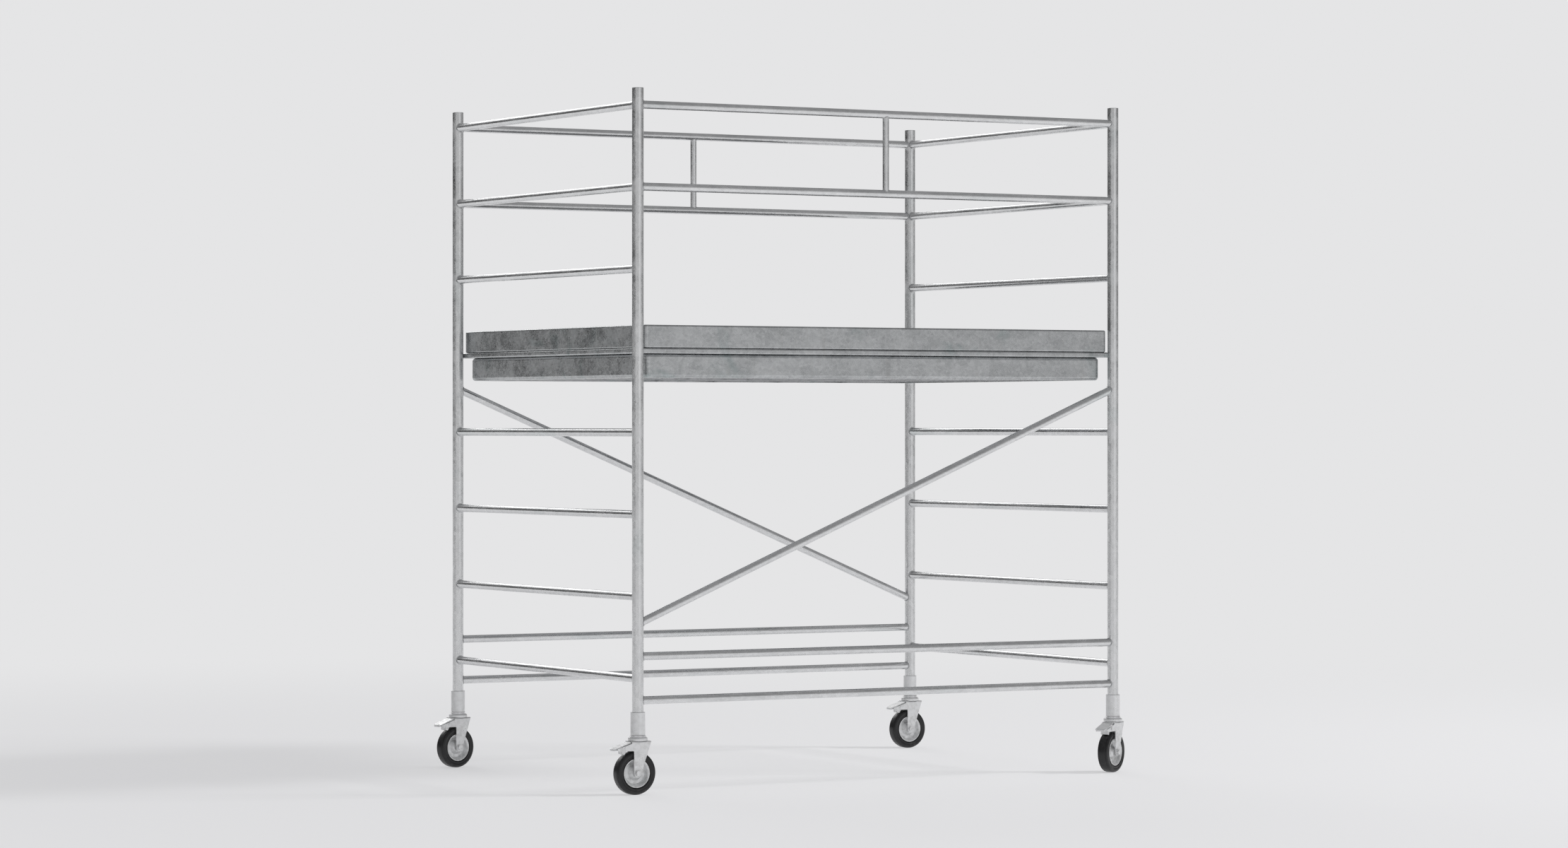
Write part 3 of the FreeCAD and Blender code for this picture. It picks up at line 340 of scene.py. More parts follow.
def vector_node(tree, operation, a, b=(0, 0, 0)):
    made = add(tree, "ShaderNodeVectorMath", {"operation": operation}, _0=a)
    feed(tree, made.inputs["Scale" if operation == "SCALE" else 1], b)
    return made.outputs[0]


def remap(tree, value, low, high, to_low=0.0, to_high=1.0):
    return add(
        tree, "ShaderNodeMapRange", {"interpolation_type": "SMOOTHSTEP"},
        Value=value, From_Min=low, From_Max=high, To_Min=to_low, To_Max=to_high,
    ).outputs[0]


def blend_colour(tree, share, a, b, kind="MIX"):
    made = tree.nodes.new("ShaderNodeMix")
    made.data_type, made.blend_type = "RGBA", kind
    for place, value in ((0, share), (6, a), (7, b)):
        colour = place and not isinstance(value, bpy.types.NodeSocket)
        feed(tree, made.inputs[place], (*value, 1) if colour else value)
    return made.outputs[2]


def noise(tree, coordinates, scale, detail=3.0, rough=0.55, distort=0.0):
    return add(
        tree, "ShaderNodeTexNoise", None,
        Vector=coordinates, Scale=scale, Detail=detail, Roughness=rough, Distortion=distort,
    ).outputs["Fac"]


def effect(name, inputs, outputs):
    """An empty shader group with named inputs (name, kind, value) and outputs (name, kind)."""
    group = bpy.data.node_groups.new(name, "ShaderNodeTree")
    for label, kind, value in inputs:
        socket = group.interface.new_socket(label, in_out="INPUT", socket_type=kind)
        if value is not None:
            socket.default_value = value
    for label, kind in outputs:
        group.interface.new_socket(label, in_out="OUTPUT", socket_type=kind)
    entry = group.nodes.new("NodeGroupInput")
    return group, entry.outputs, group.nodes.new("NodeGroupOutput").inputs


FLOAT, COLOUR, VECTOR = "NodeSocketFloat", "NodeSocketColor", "NodeSocketVector"


def zinc_crystals():
    """Hot-dip zinc: flat crystals of random shade and tilt, cloudy patches, grey-green bloom and grit."""
    group, given, put = effect(
        "zinc crystals",
        [("Coordinates", VECTOR, None), ("Crystals per metre", FLOAT, 90.0),
         ("Dark", COLOUR, (0.3, 0.3, 0.31, 1)),
         ("Light", COLOUR, (0.7, 0.7, 0.71, 1)), ("Bloom", FLOAT, 0.3), ("Tilt", FLOAT, 0.05),
         ("Smooth", FLOAT, 0.3), ("Grit", FLOAT, 0.3)],
        [("Colour", COLOUR), ("Roughness", FLOAT), ("Normal", VECTOR)],
    )
    place, density = given["Coordinates"], given["Crystals per metre"]
    warp = add(group, "ShaderNodeTexNoise", None, Vector=place, Scale=38.0, Detail=2.0)
    bent = vector_node(group, "ADD", place, vector_node(group, "SCALE", warp.outputs["Color"], 0.012))
    large = add(group, "ShaderNodeTexVoronoi", None, Vector=bent, Scale=density)
    denser = math_node(group, "MULTIPLY", density, 2.7)
    small = add(group, "ShaderNodeTexVoronoi", None, Vector=bent, Scale=denser)
    first = add(group, "ShaderNodeSeparateColor", None, Color=large.outputs["Color"]).outputs[0]
    second = add(group, "ShaderNodeSeparateColor", None, Color=small.outputs["Color"]).outputs[1]
    cloud = noise(group, place, 9.0, 4.0, 0.62, 0.6)
    patch = noise(group, place, 3.1, 3.0, 0.6, 1.2)
    grit = noise(group, place, 520.0, 2.0, 0.7)
    shade = math_node(group, "MULTIPLY_ADD", first, 0.34, math_node(group, "MULTIPLY", second, 0.20))
    shade = math_node(group, "ADD", shade, remap(group, cloud, 0.3, 0.72, 0.0, 0.40))
    specks = math_node(group, "MULTIPLY", remap(group, grit, 0.54, 0.78, 0.0, 0.5), given["Grit"])
    shade = math_node(group, "SUBTRACT", shade, specks, clamp=True)
    colour = blend_colour(group, shade, given["Dark"], given["Light"])
    teal = math_node(group, "MULTIPLY", remap(group, patch, 0.52, 0.72), given["Bloom"])
    bloomed = blend_colour(group, 0.8, colour, (0.50, 0.62, 0.61), "MULTIPLY")
    colour = blend_colour(group, teal, colour, bloomed)
    rough = math_node(group, "MULTIPLY_ADD", second, 0.12, given["Smooth"])
    rough = math_node(group, "ADD", rough, remap(group, cloud, 0.35, 0.7, -0.05, 0.10))
    rough = math_node(group, "MULTIPLY_ADD", specks, 0.25, rough)
    face = add(group, "ShaderNodeNewGeometry").outputs["Normal"]
    lean = vector_node(group, "SUBTRACT", large.outputs["Color"], (0.5, 0.5, 0.5))
    lean = vector_node(group, "SCALE", lean, given["Tilt"])
    tipped = vector_node(group, "NORMALIZE", vector_node(group, "ADD", face, lean))
    raised = add(group, "ShaderNodeBump", None, Strength=0.18, Distance=0.0006, Height=grit, Normal=tipped)
    for label, value in (("Colour", colour), ("Roughness", rough), ("Normal", raised.outputs[0])):
        group.links.new(value, put[label])
    return group


def weather():
    """Grime and white rust: runs down the piece and a dusty foot. Its mask is for mixing in a dull colour."""
    group, given, put = effect(
        "weather",
        [("Coordinates", VECTOR, None), ("Runs", FLOAT, 0.4), ("Foot height", FLOAT, 0.35)],
        [("Mask", FLOAT)],
    )
    thin = vector_node(group, "MULTIPLY", given["Coordinates"], (46.0, 46.0, 2.2))
    runs = remap(group, noise(group, thin, 1.0, 3.0, 0.6), 0.55, 0.78)
    height = add(group, "ShaderNodeSeparateXYZ", None, Vector=given["Coordinates"]).outputs[2]
    risen = math_node(group, "DIVIDE", height, given["Foot height"])
    foot = math_node(group, "SUBTRACT", 1.0, risen, clamp=True)
    specks = remap(group, noise(group, given["Coordinates"], 70.0, 5.0), 0.4, 0.7)
    dust = math_node(group, "MULTIPLY", foot, specks)
    mask = math_node(group, "MAXIMUM", math_node(group, "MULTIPLY", runs, given["Runs"]), dust)
    group.links.new(mask, put["Mask"])
    return group


CRYSTALS, WEATHER = zinc_crystals(), weather()


def new_material(name):
    material = bpy.data.materials.new(name)
    material.use_nodes = True
    tree = material.node_tree
    tree.nodes.clear()
    shader = tree.nodes.new("ShaderNodeBsdfPrincipled")
    tree.links.new(shader.outputs[0], tree.nodes.new("ShaderNodeOutputMaterial").inputs["Surface"])
    place = tree.nodes.new("ShaderNodeTexCoord").outputs["Object"]
    return material, tree, shader, place


def use_group(tree, group, **inputs):
    made = tree.nodes.new("ShaderNodeGroup")
    made.node_tree = group
    for key, value in inputs.items():
        feed(tree, made.inputs[key.replace("_", " ")], (*value, 1) if isinstance(value, tuple) else value)
    return made.outputs


def galvanised(name, dark, light, crystals, stretch=(1, 1, 1), smooth=0.3, tilt=0.05, bloom=0.3, grit=0.3,
               runs=0.3, metal=1.0, rungs_on=False):
    """A zinc-coated steel finish. `stretch` draws the crystals out along the tube's own length."""
    material, tree, shader, place = new_material(name)
    drawn = vector_node(tree, "MULTIPLY", place, stretch)
    zinc = use_group(
        tree, CRYSTALS, Coordinates=drawn, Crystals_per_metre=crystals, Dark=dark, Light=light,
        Bloom=bloom, Tilt=tilt, Smooth=smooth, Grit=grit,
    )
    worn = use_group(tree, WEATHER, Coordinates=place, Runs=runs)["Mask"]
    colour, rough = zinc["Colour"], zinc["Roughness"]
    if rungs_on:  # the heat round each weld leaves a paler, duller band
        height = add(tree, "ShaderNodeSeparateXYZ", None, Vector=place).outputs[2]
        step = math_node(tree, "DIVIDE", math_node(tree, "SUBTRACT", height, float(PLATFORM)), RUNG_PITCH)
        away = math_node(tree, "ABSOLUTE", math_node(tree, "SUBTRACT", step, math_node(tree, "ROUND", step)))
        wave = math_node(tree, "MULTIPLY_ADD", noise(tree, place, 60.0), 0.05, away)
        band = remap(tree, wave, 0.07, 0.13, 0.35, 0.0)
        colour = blend_colour(tree, band, colour, light)
        rough = math_node(tree, "MULTIPLY_ADD", band, 0.25, rough)
    colour = blend_colour(tree, math_node(tree, "MULTIPLY", worn, 0.5), colour, (0.42, 0.42, 0.40))
    rough = math_node(tree, "MULTIPLY_ADD", worn, 0.18, rough)
    tree.links.new(colour, shader.inputs["Base Color"])
    tree.links.new(rough, shader.inputs["Roughness"])
    tree.links.new(zinc["Normal"], shader.inputs["Normal"])
    shader.inputs["Metallic"].default_value = metal
    return material


def tyre_rubber():
    """Black moulded rubber: fine pores, scuffs and floor dust on the tread."""
    material, tree, shader, place = new_material("tyre_rubber")
    pores = noise(tree, place, 900.0, 3.0, 0.6)
    scuff = remap(tree, noise(tree, place, 120.0, 5.0, 0.7, 0.8), 0.5, 0.8)
    height = add(tree, "ShaderNodeSeparateXYZ", None, Vector=place).outputs[2]
    low_down = remap(tree, height, 0.0, 0.05, 1.0, 0.15)
    specks = remap(tree, noise(tree, place, 60.0, 4.0), 0.45, 0.75)
    dusty = math_node(tree, "MULTIPLY", low_down, specks)
    worn = math_node(tree, "MULTIPLY", scuff, 0.3)
    colour = blend_colour(tree, worn, (0.0085, 0.0085, 0.0095), (0.028, 0.028, 0.030))
    colour = blend_colour(tree, math_node(tree, "MULTIPLY", dusty, 0.16), colour, (0.20, 0.19, 0.18))
    rough = math_node(tree, "MULTIPLY_ADD", scuff, 0.18, remap(tree, pores, 0.3, 0.7, 0.27, 0.36))
    tree.links.new(colour, shader.inputs["Base Color"])
    tree.links.new(rough, shader.inputs["Roughness"])
    bump = add(tree, "ShaderNodeBump", None, Strength=0.25, Distance=0.0004, Height=pores)
    tree.links.new(bump.outputs[0], shader.inputs["Normal"])
    return material


def bush_nylon():
    """Ivory nylon with a faint moulding haze and grease at its ends."""
    material, tree, shader, place = new_material("bush_nylon")
    haze = noise(tree, place, 240.0, 4.0)
    grease = remap(tree, noise(tree, place, 90.0, 3.0), 0.5, 0.7)
    colour = blend_colour(tree, haze, (0.66, 0.65, 0.60), (0.78, 0.77, 0.72))
    colour = blend_colour(tree, math_node(tree, "MULTIPLY", grease, 0.4), colour, (0.18, 0.16, 0.13))
    tree.links.new(colour, shader.inputs["Base Color"])
    tree.links.new(remap(tree, haze, 0.2, 0.8, 0.35, 0.55), shader.inputs["Roughness"])
    bump = add(tree, "ShaderNodeBump", None, Strength=0.1, Distance=0.0003, Height=haze)
    tree.links.new(bump.outputs[0], shader.inputs["Normal"])
    return material


TUBE_SHADES = ((0.64, 0.645, 0.65), (0.88, 0.885, 0.89))
POST_ZINC = galvanised("post_zinc", *TUBE_SHADES, 120.0, (1, 1, 0.5), smooth=0.17,
                       tilt=0.022, bloom=0.25, grit=0.35, rungs_on=True)
RAIL_ZINC = galvanised("rail_zinc", *TUBE_SHADES, 130.0, (0.5, 1, 1), smooth=0.17,
                       tilt=0.025, bloom=0.30, grit=0.3, runs=0.1)
RUNG_ZINC = galvanised("rung_zinc", *TUBE_SHADES, 130.0, (1, 0.5, 1), smooth=0.17,
                       tilt=0.025, bloom=0.25, grit=0.3, runs=0.1)
SHEET_ZINC = galvanised("sheet_zinc", (0.37, 0.38, 0.386), (0.66, 0.672, 0.678), 85.0, (1, 1, 1.2),
                        smooth=0.20, tilt=0.03, bloom=0.75, grit=0.7, runs=0.5)
DECK_ZINC = galvanised("deck_zinc", (0.42, 0.425, 0.435), (0.70, 0.705, 0.715), 75.0, smooth=0.33, tilt=0.05,
                       bloom=0.4, grit=0.6, runs=0.0)
CASTOR_ZINC = galvanised("castor_zinc", (0.80, 0.805, 0.81), (0.90, 0.905, 0.91), 210.0, smooth=0.30,
                         tilt=0.012, bloom=0.1, grit=0.1, runs=0.0, metal=0.72)
WELD_ZINC = galvanised("weld_zinc", (0.50, 0.505, 0.51), (0.76, 0.765, 0.77), 320.0, smooth=0.32, tilt=0.08,
                       bloom=0.1, grit=0.5, runs=0.0)
BEARING_STEEL = galvanised("bearing_steel", (0.86, 0.86, 0.87), (0.94, 0.94, 0.95), 500.0, smooth=0.08,
                           tilt=0.01, bloom=0.0, grit=0.1, runs=0.0)
RUBBER, NYLON = tyre_rubber(), bush_nylon()


FINISHES = {
    "wheel_bush_": NYLON, "castor_bearing_balls": BEARING_STEEL, "deck_": DECK_ZINC, "hatch_panel": DECK_ZINC,
}


def finish_for(node):
    """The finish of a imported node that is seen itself. The others are castor, hinge and pin steel."""
    return next((made for start, made in FINISHES.items() if node.startswith(start)), CASTOR_ZINC)


for name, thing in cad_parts.items():
    thing.data.materials.clear()
    thing.data.materials.append(finish_for(name))


# ---------------------------------------------------------------- tubes and their welds

POST_JOINT = (UP, POST_RADIUS)
RAIL_JOINT = (ALONG_X, RAIL_RADIUS)
weld_seeds = count(101)


def level(corner, z):
    return np.array([*POSTS[corner], z])


def tubes(name, node, runs, radius, wall, joint, finish):
    """Pipes coped to the tubes they meet, in one piece, and a weld bead round every end in another."""
    pipes = [coped_tube(a, b, radius, wall, *joint) for a, b in runs]
    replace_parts(piece(name, pipes, "frame", finish), node)
    size = BEAD if radius > STRUT_RADIUS else SMALL_BEAD
    beads = [
        weld_bead(root, toward, radius, *joint, size, next(weld_seeds))
        for a, b in runs for root, toward in ((a, b), (b, a))
    ]
    piece(f"{name}_welds", beads, "frame", WELD_ZINC)


def post_tube(corner):
    """An open pipe with its cut ends eased by about a millimetre."""
    outline = arc_corners(
        [(POST_RADIUS - POST_WALL, POST_FOOT), (POST_RADIUS, POST_FOOT), (POST_RADIUS, POST_TOP),
         (POST_RADIUS - POST_WALL, POST_TOP)],
        [0.0006, 0.0006, 0.0011, 0.0011],
    )
    tube = turned(held(outline), POSTS[corner], 72)
    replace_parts(piece(f"post_tube_{corner}", [tube], "frame", POST_ZINC), f"post_{corner}")


for corner in CORNERS:
    post_tube(corner)

for end in ("left", "right"):
    heights = [PLATFORM + step * RUNG_PITCH for step in RUNG_STEPS]
    runs = [(level(f"front_{end}", z), level(f"back_{end}", z)) for z in heights]
    tubes(f"ladder_rungs_{end}", f"rungs_{end}_end", runs, RAIL_RADIUS, RAIL_WALL, POST_JOINT, RUNG_ZINC)

MID_LEVEL, TOP_LEVEL = PLATFORM + 2 * RUNG_PITCH, PLATFORM + 3 * RUNG_PITCH
BASE_LEVELS = [POST_FOOT + rise for rise in BASE_RISES]
BRACE_LOW, BRACE_HIGH = POST_FOOT + BRACE_RISE, PLATFORM - BRACE_DROP
BRACE_LEVELS = {"front": (BRACE_LOW, BRACE_HIGH), "back": (BRACE_HIGH, BRACE_LOW)}
for side in ("front", "back"):
    ends = (f"{side}_left", f"{side}_right")
    for label, node, levels in (
        ("guard_rail_top", "top_rail", (TOP_LEVEL,)),
        ("guard_rail_middle", "mid_rail", (MID_LEVEL,)),
        ("base_rail_tubes", "base_rails", BASE_LEVELS),
    ):
        runs = [(level(ends[0], z), level(ends[1], z)) for z in levels]
        tubes(f"{label}_{side}", f"{node}_{side}", runs, RAIL_RADIUS, RAIL_WALL, POST_JOINT, RAIL_ZINC)
    left_z, right_z = BRACE_LEVELS[side]
    runs = [(level(ends[0], left_z), level(ends[1], right_z))]
    tubes(f"brace_tube_{side}", f"brace_{side}", runs, RAIL_RADIUS, RAIL_WALL, POST_JOINT, RAIL_ZINC)

strut_runs = []
for side in ("front", "back"):
    foot = np.array([MIDDLE[0] + STRUT_SHIFT, POSTS[f"{side}_left"][1], MID_LEVEL])
    strut_runs.append((foot, foot + UP * (TOP_LEVEL - MID_LEVEL)))
tubes("guard_rail_struts", "rail_struts", strut_runs, STRUT_RADIUS, STRUT_WALL, RAIL_JOINT, POST_ZINC)


# ---------------------------------------------------------------- folded platform


def channel_ring(nodes, flange, corner, fold):
    """Four folded sides, by name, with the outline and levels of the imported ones."""
    boxes = [corners_of(node) for node in nodes]
    low, high = np.min([b[0] for b in boxes], 0), np.max([b[1] for b in boxes], 0)
    half = (high - low)[:2] / 2
    return {side: folded_side(half, low[2], high[2], flange, corner, fold, side) for side in SIDES}


RIM_SHAPE = (0.040, 0.003, 0.0050)  # flange, corner and fold
rim = channel_ring(["deck_rim"], *RIM_SHAPE)
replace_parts(piece("platform_rim", list(rim.values()), "frame", SHEET_ZINC), "deck_rim")
for prefix, node, shape in (
    ("platform_beam", "deck_beam", (0.040, 0.022, 0.0120)),
    ("kick_board", "toe_board", (0.018, 0.016, 0.0060)),
):
    for side, made in channel_ring([f"{node}_{side}" for side in SIDES], *shape).items():
        name = f"{prefix}_{side}"
        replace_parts(piece(name, [made], "frame", SHEET_ZINC), f"{node}_{side}")


# ---------------------------------------------------------------- castor rings that stay with the posts


def castor_ring(name, node, outline, radii, finish=CASTOR_ZINC):
    profile = held(arc_corners(outline, radii))
    rings = [turned(profile, POSTS[corner]) for corner in CORNERS]
    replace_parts(piece(name, rings, "frame", finish, sharp=30), node)


cup_low, cup_high = (v[2] for v in corners_of("castor_bearing_cups"))
ring_high = corners_of("castor_thrust_rings")[1][2]
socket_high = corners_of("castor_sockets")[1][2]
neck_foot, neck_top, lip = (cup_high + share * (ring_high - cup_high) for share in (0.45, 0.65, 0.75))
shoulder = cup_high + 0.3 * (ring_high - cup_high)
post_bore, nut_seat, cup_roof = POST_RADIUS + POST_PLAY, ring_high + SOCKET_FLOOR, cup_high - CUP_PLATE
castor_ring(
    "castor_socket_sleeves", "castor_sockets",
    [(KINGPIN_RADIUS, ring_high), (SOCKET_RADIUS, ring_high), (SOCKET_RADIUS, socket_high),
     (post_bore, socket_high), (post_bore, POST_FOOT), (NUT_POCKET, POST_FOOT), (NUT_POCKET, nut_seat),
     (KINGPIN_RADIUS, nut_seat)],
    [0, 0.0015, 0.0022, 0.0006, 0, 0, 0, 0],
)
castor_ring(
    "castor_cups", "castor_bearing_cups",
    [(KINGPIN_RADIUS, cup_roof), (CUP_MOUTH, cup_roof), (CUP_MOUTH, cup_low), (CUP_RADIUS, cup_low),
     (CUP_RADIUS, cup_high), (KINGPIN_RADIUS, cup_high)],
    [0, 0.0015, 0.0005, 0.0016, 0.0045, 0],
)
castor_ring(
    "castor_race_rings", "castor_thrust_rings",
    [(KINGPIN_RADIUS, cup_high), (RACE_RADIUS, cup_high), (RACE_RADIUS, shoulder), (RACE_NECK, neck_foot),
     (RACE_NECK, neck_top), (RACE_TOP, lip), (RACE_TOP, ring_high), (KINGPIN_RADIUS, ring_high)],
    [0, 0.0011, 0.0011, 0.0008, 0.0006, 0.0007, 0.0009, 0],
    BEARING_STEEL,
)


# ---------------------------------------------------------------- tyres

# How far each castor is swung, in degrees, and half a tyre's outline: (along the axle, radius, bend).
CASTOR_TURN = {"front_left": 0.0, "back_left": 12.5, "front_right": 28.5, "back_right": 2.0}
TYRE_HALF = ((0.0000, 0.0799, 0.000), (0.0125, 0.0796, 0.0008), (0.0138, 0.0774, 0.0005),
             (0.0152, 0.0774, 0.0005), (0.0162, 0.0786, 0.0006), (0.0196, 0.0766, 0.003),
             (0.0218, 0.0700, 0.006), (0.0200, 0.0630, 0.004), (0.0212, 0.0600, 0.002),
             (0.0195, 0.0565, 0.003), (0.0170, 0.0545, 0.0008), (0.0170, 0.0490, 0.000))
TYRE_OUTLINE = [*TYRE_HALF, *((-a, r, bend) for a, r, bend in TYRE_HALF[:0:-1])]
TYRE_PROFILE = arc_corners([(a, r) for a, r, bend in TYRE_OUTLINE], [bend for a, r, bend in TYRE_OUTLINE], 4)

for corner in CORNERS:
    low, high = corners_of(f"tyre_{corner}")
    turn = math.radians(CASTOR_TURN[corner])
    axle = np.array([-math.sin(turn), math.cos(turn), 0.0])
    casing = piece(f"tyre_casing_{corner}", [rolled(TYRE_PROFILE, (low + high) / 2, axle)], f"wheel_{corner}",
                   RUBBER, sharp=30)
    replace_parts(casing, f"tyre_{corner}")


# ---------------------------------------------------------------- deck: raised grip pattern and rivets

GRIP_SIZE, GRIP_PITCH, GRIP_MARGIN, KEEP_OFF = (0.022, 0.0065, 0.0011), 0.036, 0.016, 0.015
HATCH_GAP, SLOT_INSET, SLOT_HALF = 0.003, 0.048, np.array([0.060, 0.017])
RIVET_SIZE, RIVET_PITCH, RIVET_INSET, RIVET_END = (0.0085, 0.0085, 0.0022), 0.200, 0.0115, 0.05


def near(points, low, high):
    return np.all((points[:, :2] > low[:2] - KEEP_OFF) & (points[:, :2] < high[:2] + KEEP_OFF), 1)


hatch_low, hatch_high = corners_of("hatch_panel")
hinge_boxes = [corners_of("hatch_hinge_fixed_leaves"), corners_of("hatch_hinge_moving_leaves")]
hinges = (np.min([b[0] for b in hinge_boxes], 0), np.max([b[1] for b in hinge_boxes], 0))
slot_middle = np.array([(hatch_low[0] + hatch_high[0]) / 2, hatch_low[1] + SLOT_INSET + SLOT_HALF[1]])
hand_slot = (slot_middle - SLOT_HALF, slot_middle + SLOT_HALF)


def grip_places(low, high, keep_out):
    """A square grid of places, every other one turned the other way, off edges, slots and hinges."""
    spans = [np.arange(low[k] + GRIP_MARGIN, high[k] - GRIP_MARGIN, GRIP_PITCH) for k in (0, 1)]
    spans = [s + (high[k] + low[k] - s[0] - s[-1]) / 2 for k, s in enumerate(spans)]
    i, j = np.meshgrid(np.arange(len(spans[0])), np.arange(len(spans[1])), indexing="ij")
    places = np.stack([spans[0][i], spans[1][j], np.full(i.shape, DECK_TOP)], -1).reshape(-1, 3)
    turns = np.where((i + j).ravel() % 2, math.radians(45), math.radians(-45))
    keep = np.ones(len(places), bool)
    for box in keep_out:
        keep &= ~near(places, *box)
    return places[keep], turns[keep]


grip_points, grip_quads = button(*GRIP_SIZE, turns=8)
hatch_hole = (hatch_low - HATCH_GAP, hatch_high + HATCH_GAP)
for name, node, body, keep_out in (
    ("deck_grip_left", "deck_panel_left", "frame", [hatch_hole, hinges]),
    ("deck_grip_right", "deck_panel_right", "frame", []),
    ("hatch_grip", "hatch_panel", "hatch", [hand_slot, hinges]),
):
    places, turns = grip_places(*corners_of(node), keep_out)
    piece(name, [scattered(grip_points, grip_quads, places, turns)], body, DECK_ZINC)

board_low = np.min([corners_of(f"toe_board_{side}")[0] for side in SIDES], 0)
board_high = np.max([corners_of(f"toe_board_{side}")[1] for side in SIDES], 0)


def evenly(low, high, pitch):
    count = int((high - low) // pitch)
    return (low + high) / 2 + (np.arange(count + 1) - count / 2) * pitch


rivets = []
for k, other in ((0, 1), (1, 0)):
    run = evenly(board_low[k] + RIVET_END, board_high[k] - RIVET_END, RIVET_PITCH)
    for edge in (board_low[other] + RIVET_INSET, board_high[other] - RIVET_INSET):
        place = np.zeros((len(run), 3))
        place[:, k], place[:, other], place[:, 2] = run, edge, DECK_TOP + SHEET
        rivets.append(place)
rivet_places = np.concatenate(rivets)
rivet_points, rivet_quads = button(*RIVET_SIZE)
piece("kick_board_rivets", [scattered(rivet_points, rivet_quads, rivet_places, np.zeros(len(rivet_places)))],
      "frame", CASTOR_ZINC)


# ---------------------------------------------------------------- stage, light and camera

PALE = 0.783
FLOOR_RADIUS, FLOOR_SIDES = 60, 96
PANEL_WAY = (0.08, 0.866, 0.494)
EYE, EYE_TURN, LENS = (-8.703, -14.991, 1.355), -30.148, 101.42


def floor():
    """A pale disc. Near the tower it takes soft shadows, and further out it fades to the backdrop's tone."""
    t = np.linspace(0, TAU, FLOOR_SIDES + 1)[:-1]
    ring = np.stack([FLOOR_RADIUS * np.cos(t), FLOOR_RADIUS * np.sin(t), 0 * t], -1)
    mesh = bpy.data.meshes.new("floor")
    mesh.from_pydata(ring.tolist(), [], [list(range(FLOOR_SIDES))])
    material = bpy.data.materials.new("floor_paint")
    material.use_nodes = True
    tree = material.node_tree
    tree.nodes.clear()
    place = tree.nodes.new("ShaderNodeTexCoord").outputs["Object"]
    away = add(tree, "ShaderNodeVectorMath", {"operation": "LENGTH"}, _0=place).outputs["Value"]
    share = remap(tree, away, 2.2, 9.0)
    near = tree.nodes.new("ShaderNodeAddShader")
    matt = add(tree, "ShaderNodeBsdfDiffuse", None, Color=(0.46, 0.46, 0.465, 1))
    glow = add(tree, "ShaderNodeEmission", None, Color=(0.470, 0.470, 0.477, 1), Strength=1.0)
    far = add(tree, "ShaderNodeEmission", None, Color=(PALE, PALE, PALE * 1.01, 1), Strength=1.0)
    tree.links.new(matt.outputs[0], near.inputs[0])
    tree.links.new(glow.outputs[0], near.inputs[1])
    mixed = tree.nodes.new("ShaderNodeMixShader")
    for place_in, source in ((0, share), (1, near.outputs[0]), (2, far.outputs[0])):
        tree.links.new(source, mixed.inputs[place_in])
    tree.links.new(mixed.outputs[0], tree.nodes.new("ShaderNodeOutputMaterial").inputs["Surface"])
    mesh.materials.append(material)
    thing = bpy.data.objects.new("floor", mesh)
    bpy.context.scene.collection.objects.link(thing)


# What the metal mirrors, by compass angle from +X, as shares of a turn: (angle, brightness).
ROUND_THE_ROOM = ((0.00, 0.24), (0.07, 0.26), (0.12, 0.60), (0.175, 0.78), (0.215, 0.45), (0.25, 0.12),
                  (0.286, 0.06), (0.372, 0.05), (0.433, 0.06), (0.486, 0.08), (0.533, 0.20), (0.577, 0.44),
                  (0.619, 0.55), (0.666, 0.38), (0.702, 0.50), (0.744, 0.73), (0.786, 0.80), (0.833, 0.58),
                  (0.883, 0.30), (0.941, 0.22))


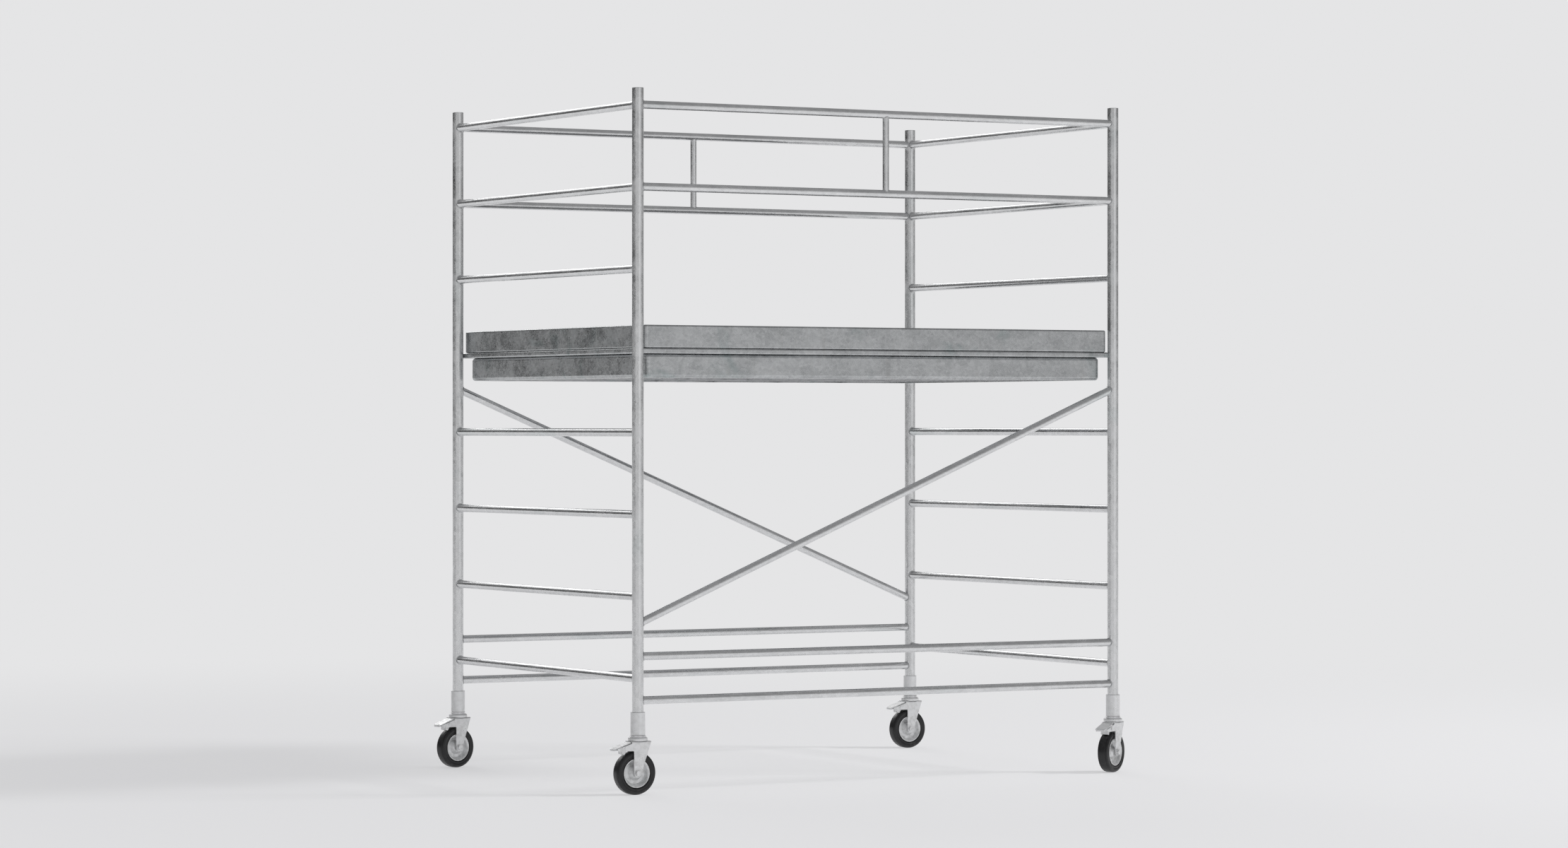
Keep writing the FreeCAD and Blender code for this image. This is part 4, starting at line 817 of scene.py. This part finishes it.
def studio():
    """Soft panels round the tower for the metal to mirror, and one even pale tone behind it for the eye."""
    world = bpy.data.worlds.new("studio")
    bpy.context.scene.world = world
    world.use_nodes = True
    tree = world.node_tree
    tree.nodes.clear()
    way = tree.nodes.new("ShaderNodeTexCoord").outputs["Generated"]
    x, y, z = add(tree, "ShaderNodeSeparateXYZ", None, Vector=way).outputs
    turn = math_node(tree, "DIVIDE", math_node(tree, "ARCTAN2", y, x), TAU)
    turn = math_node(tree, "FRACT", math_node(tree, "ADD", turn, 1.0))
    ramp = tree.nodes.new("ShaderNodeValToRGB")
    ramp.color_ramp.interpolation = "EASE"
    stops = ramp.color_ramp.elements
    while len(stops) > 1:
        stops.remove(stops[-1])
    for index, (angle, bright) in enumerate(ROUND_THE_ROOM):
        stop = stops[0] if index == 0 else stops.new(angle)
        stop.position = angle
        stop.color = (bright, bright, bright * 1.01, 1)
    tree.links.new(turn, ramp.inputs[0])
    overhead = remap(tree, z, 0.10, 0.40)
    tone = blend_colour(tree, overhead, ramp.outputs[0], (0.30, 0.30, 0.305))
    toward = add(tree, "ShaderNodeVectorMath", {"operation": "DOT_PRODUCT"}, _0=way, _1=PANEL_WAY)
    panel = remap(tree, toward.outputs["Value"], 0.950, 0.985)
    tone = blend_colour(tree, panel, tone, (2.2, 2.2, 2.2))
    below = remap(tree, z, -0.02, 0.0, 1.0, 0.0)
    tone = blend_colour(tree, below, tone, (PALE, PALE, PALE))
    seen = tree.nodes.new("ShaderNodeLightPath").outputs["Is Camera Ray"]
    tone = blend_colour(tree, seen, tone, (PALE, PALE, PALE * 1.01))
    light = add(tree, "ShaderNodeBackground", None, Color=tone, Strength=1.0)
    tree.links.new(light.outputs[0], tree.nodes.new("ShaderNodeOutputWorld").inputs["Surface"])


def soft_light(name, at, aim, size, power):
    lamp = bpy.data.lights.new(name, "AREA")
    lamp.shape, lamp.size, lamp.size_y, lamp.energy = "RECTANGLE", *size, power
    thing = bpy.data.objects.new(name, lamp)
    thing.location = at
    x, y, z = np.array(aim, float) - np.array(at, float)
    thing.rotation_euler = (math.atan2(math.hypot(x, y), -z), 0, math.atan2(y, x) - math.pi / 2)
    thing.visible_glossy = False
    bpy.context.scene.collection.objects.link(thing)


floor()
studio()
soft_light("key_panel", (13.0, -7.5, 11.0), (0.0, 0.0, 0.8), (3.2, 3.2), 1500)

camera_data = bpy.data.cameras.new("viewpoint")
camera_data.lens, camera_data.sensor_width = LENS, 36.0
camera = bpy.data.objects.new("viewpoint", camera_data)
camera.location = (MIDDLE[0] + EYE[0], MIDDLE[1] + EYE[1], EYE[2])
camera.rotation_euler = (math.radians(90), 0, math.radians(EYE_TURN))
bpy.context.scene.collection.objects.link(camera)
bpy.context.scene.camera = camera
bpy.context.scene.view_settings.view_transform = "Standard"
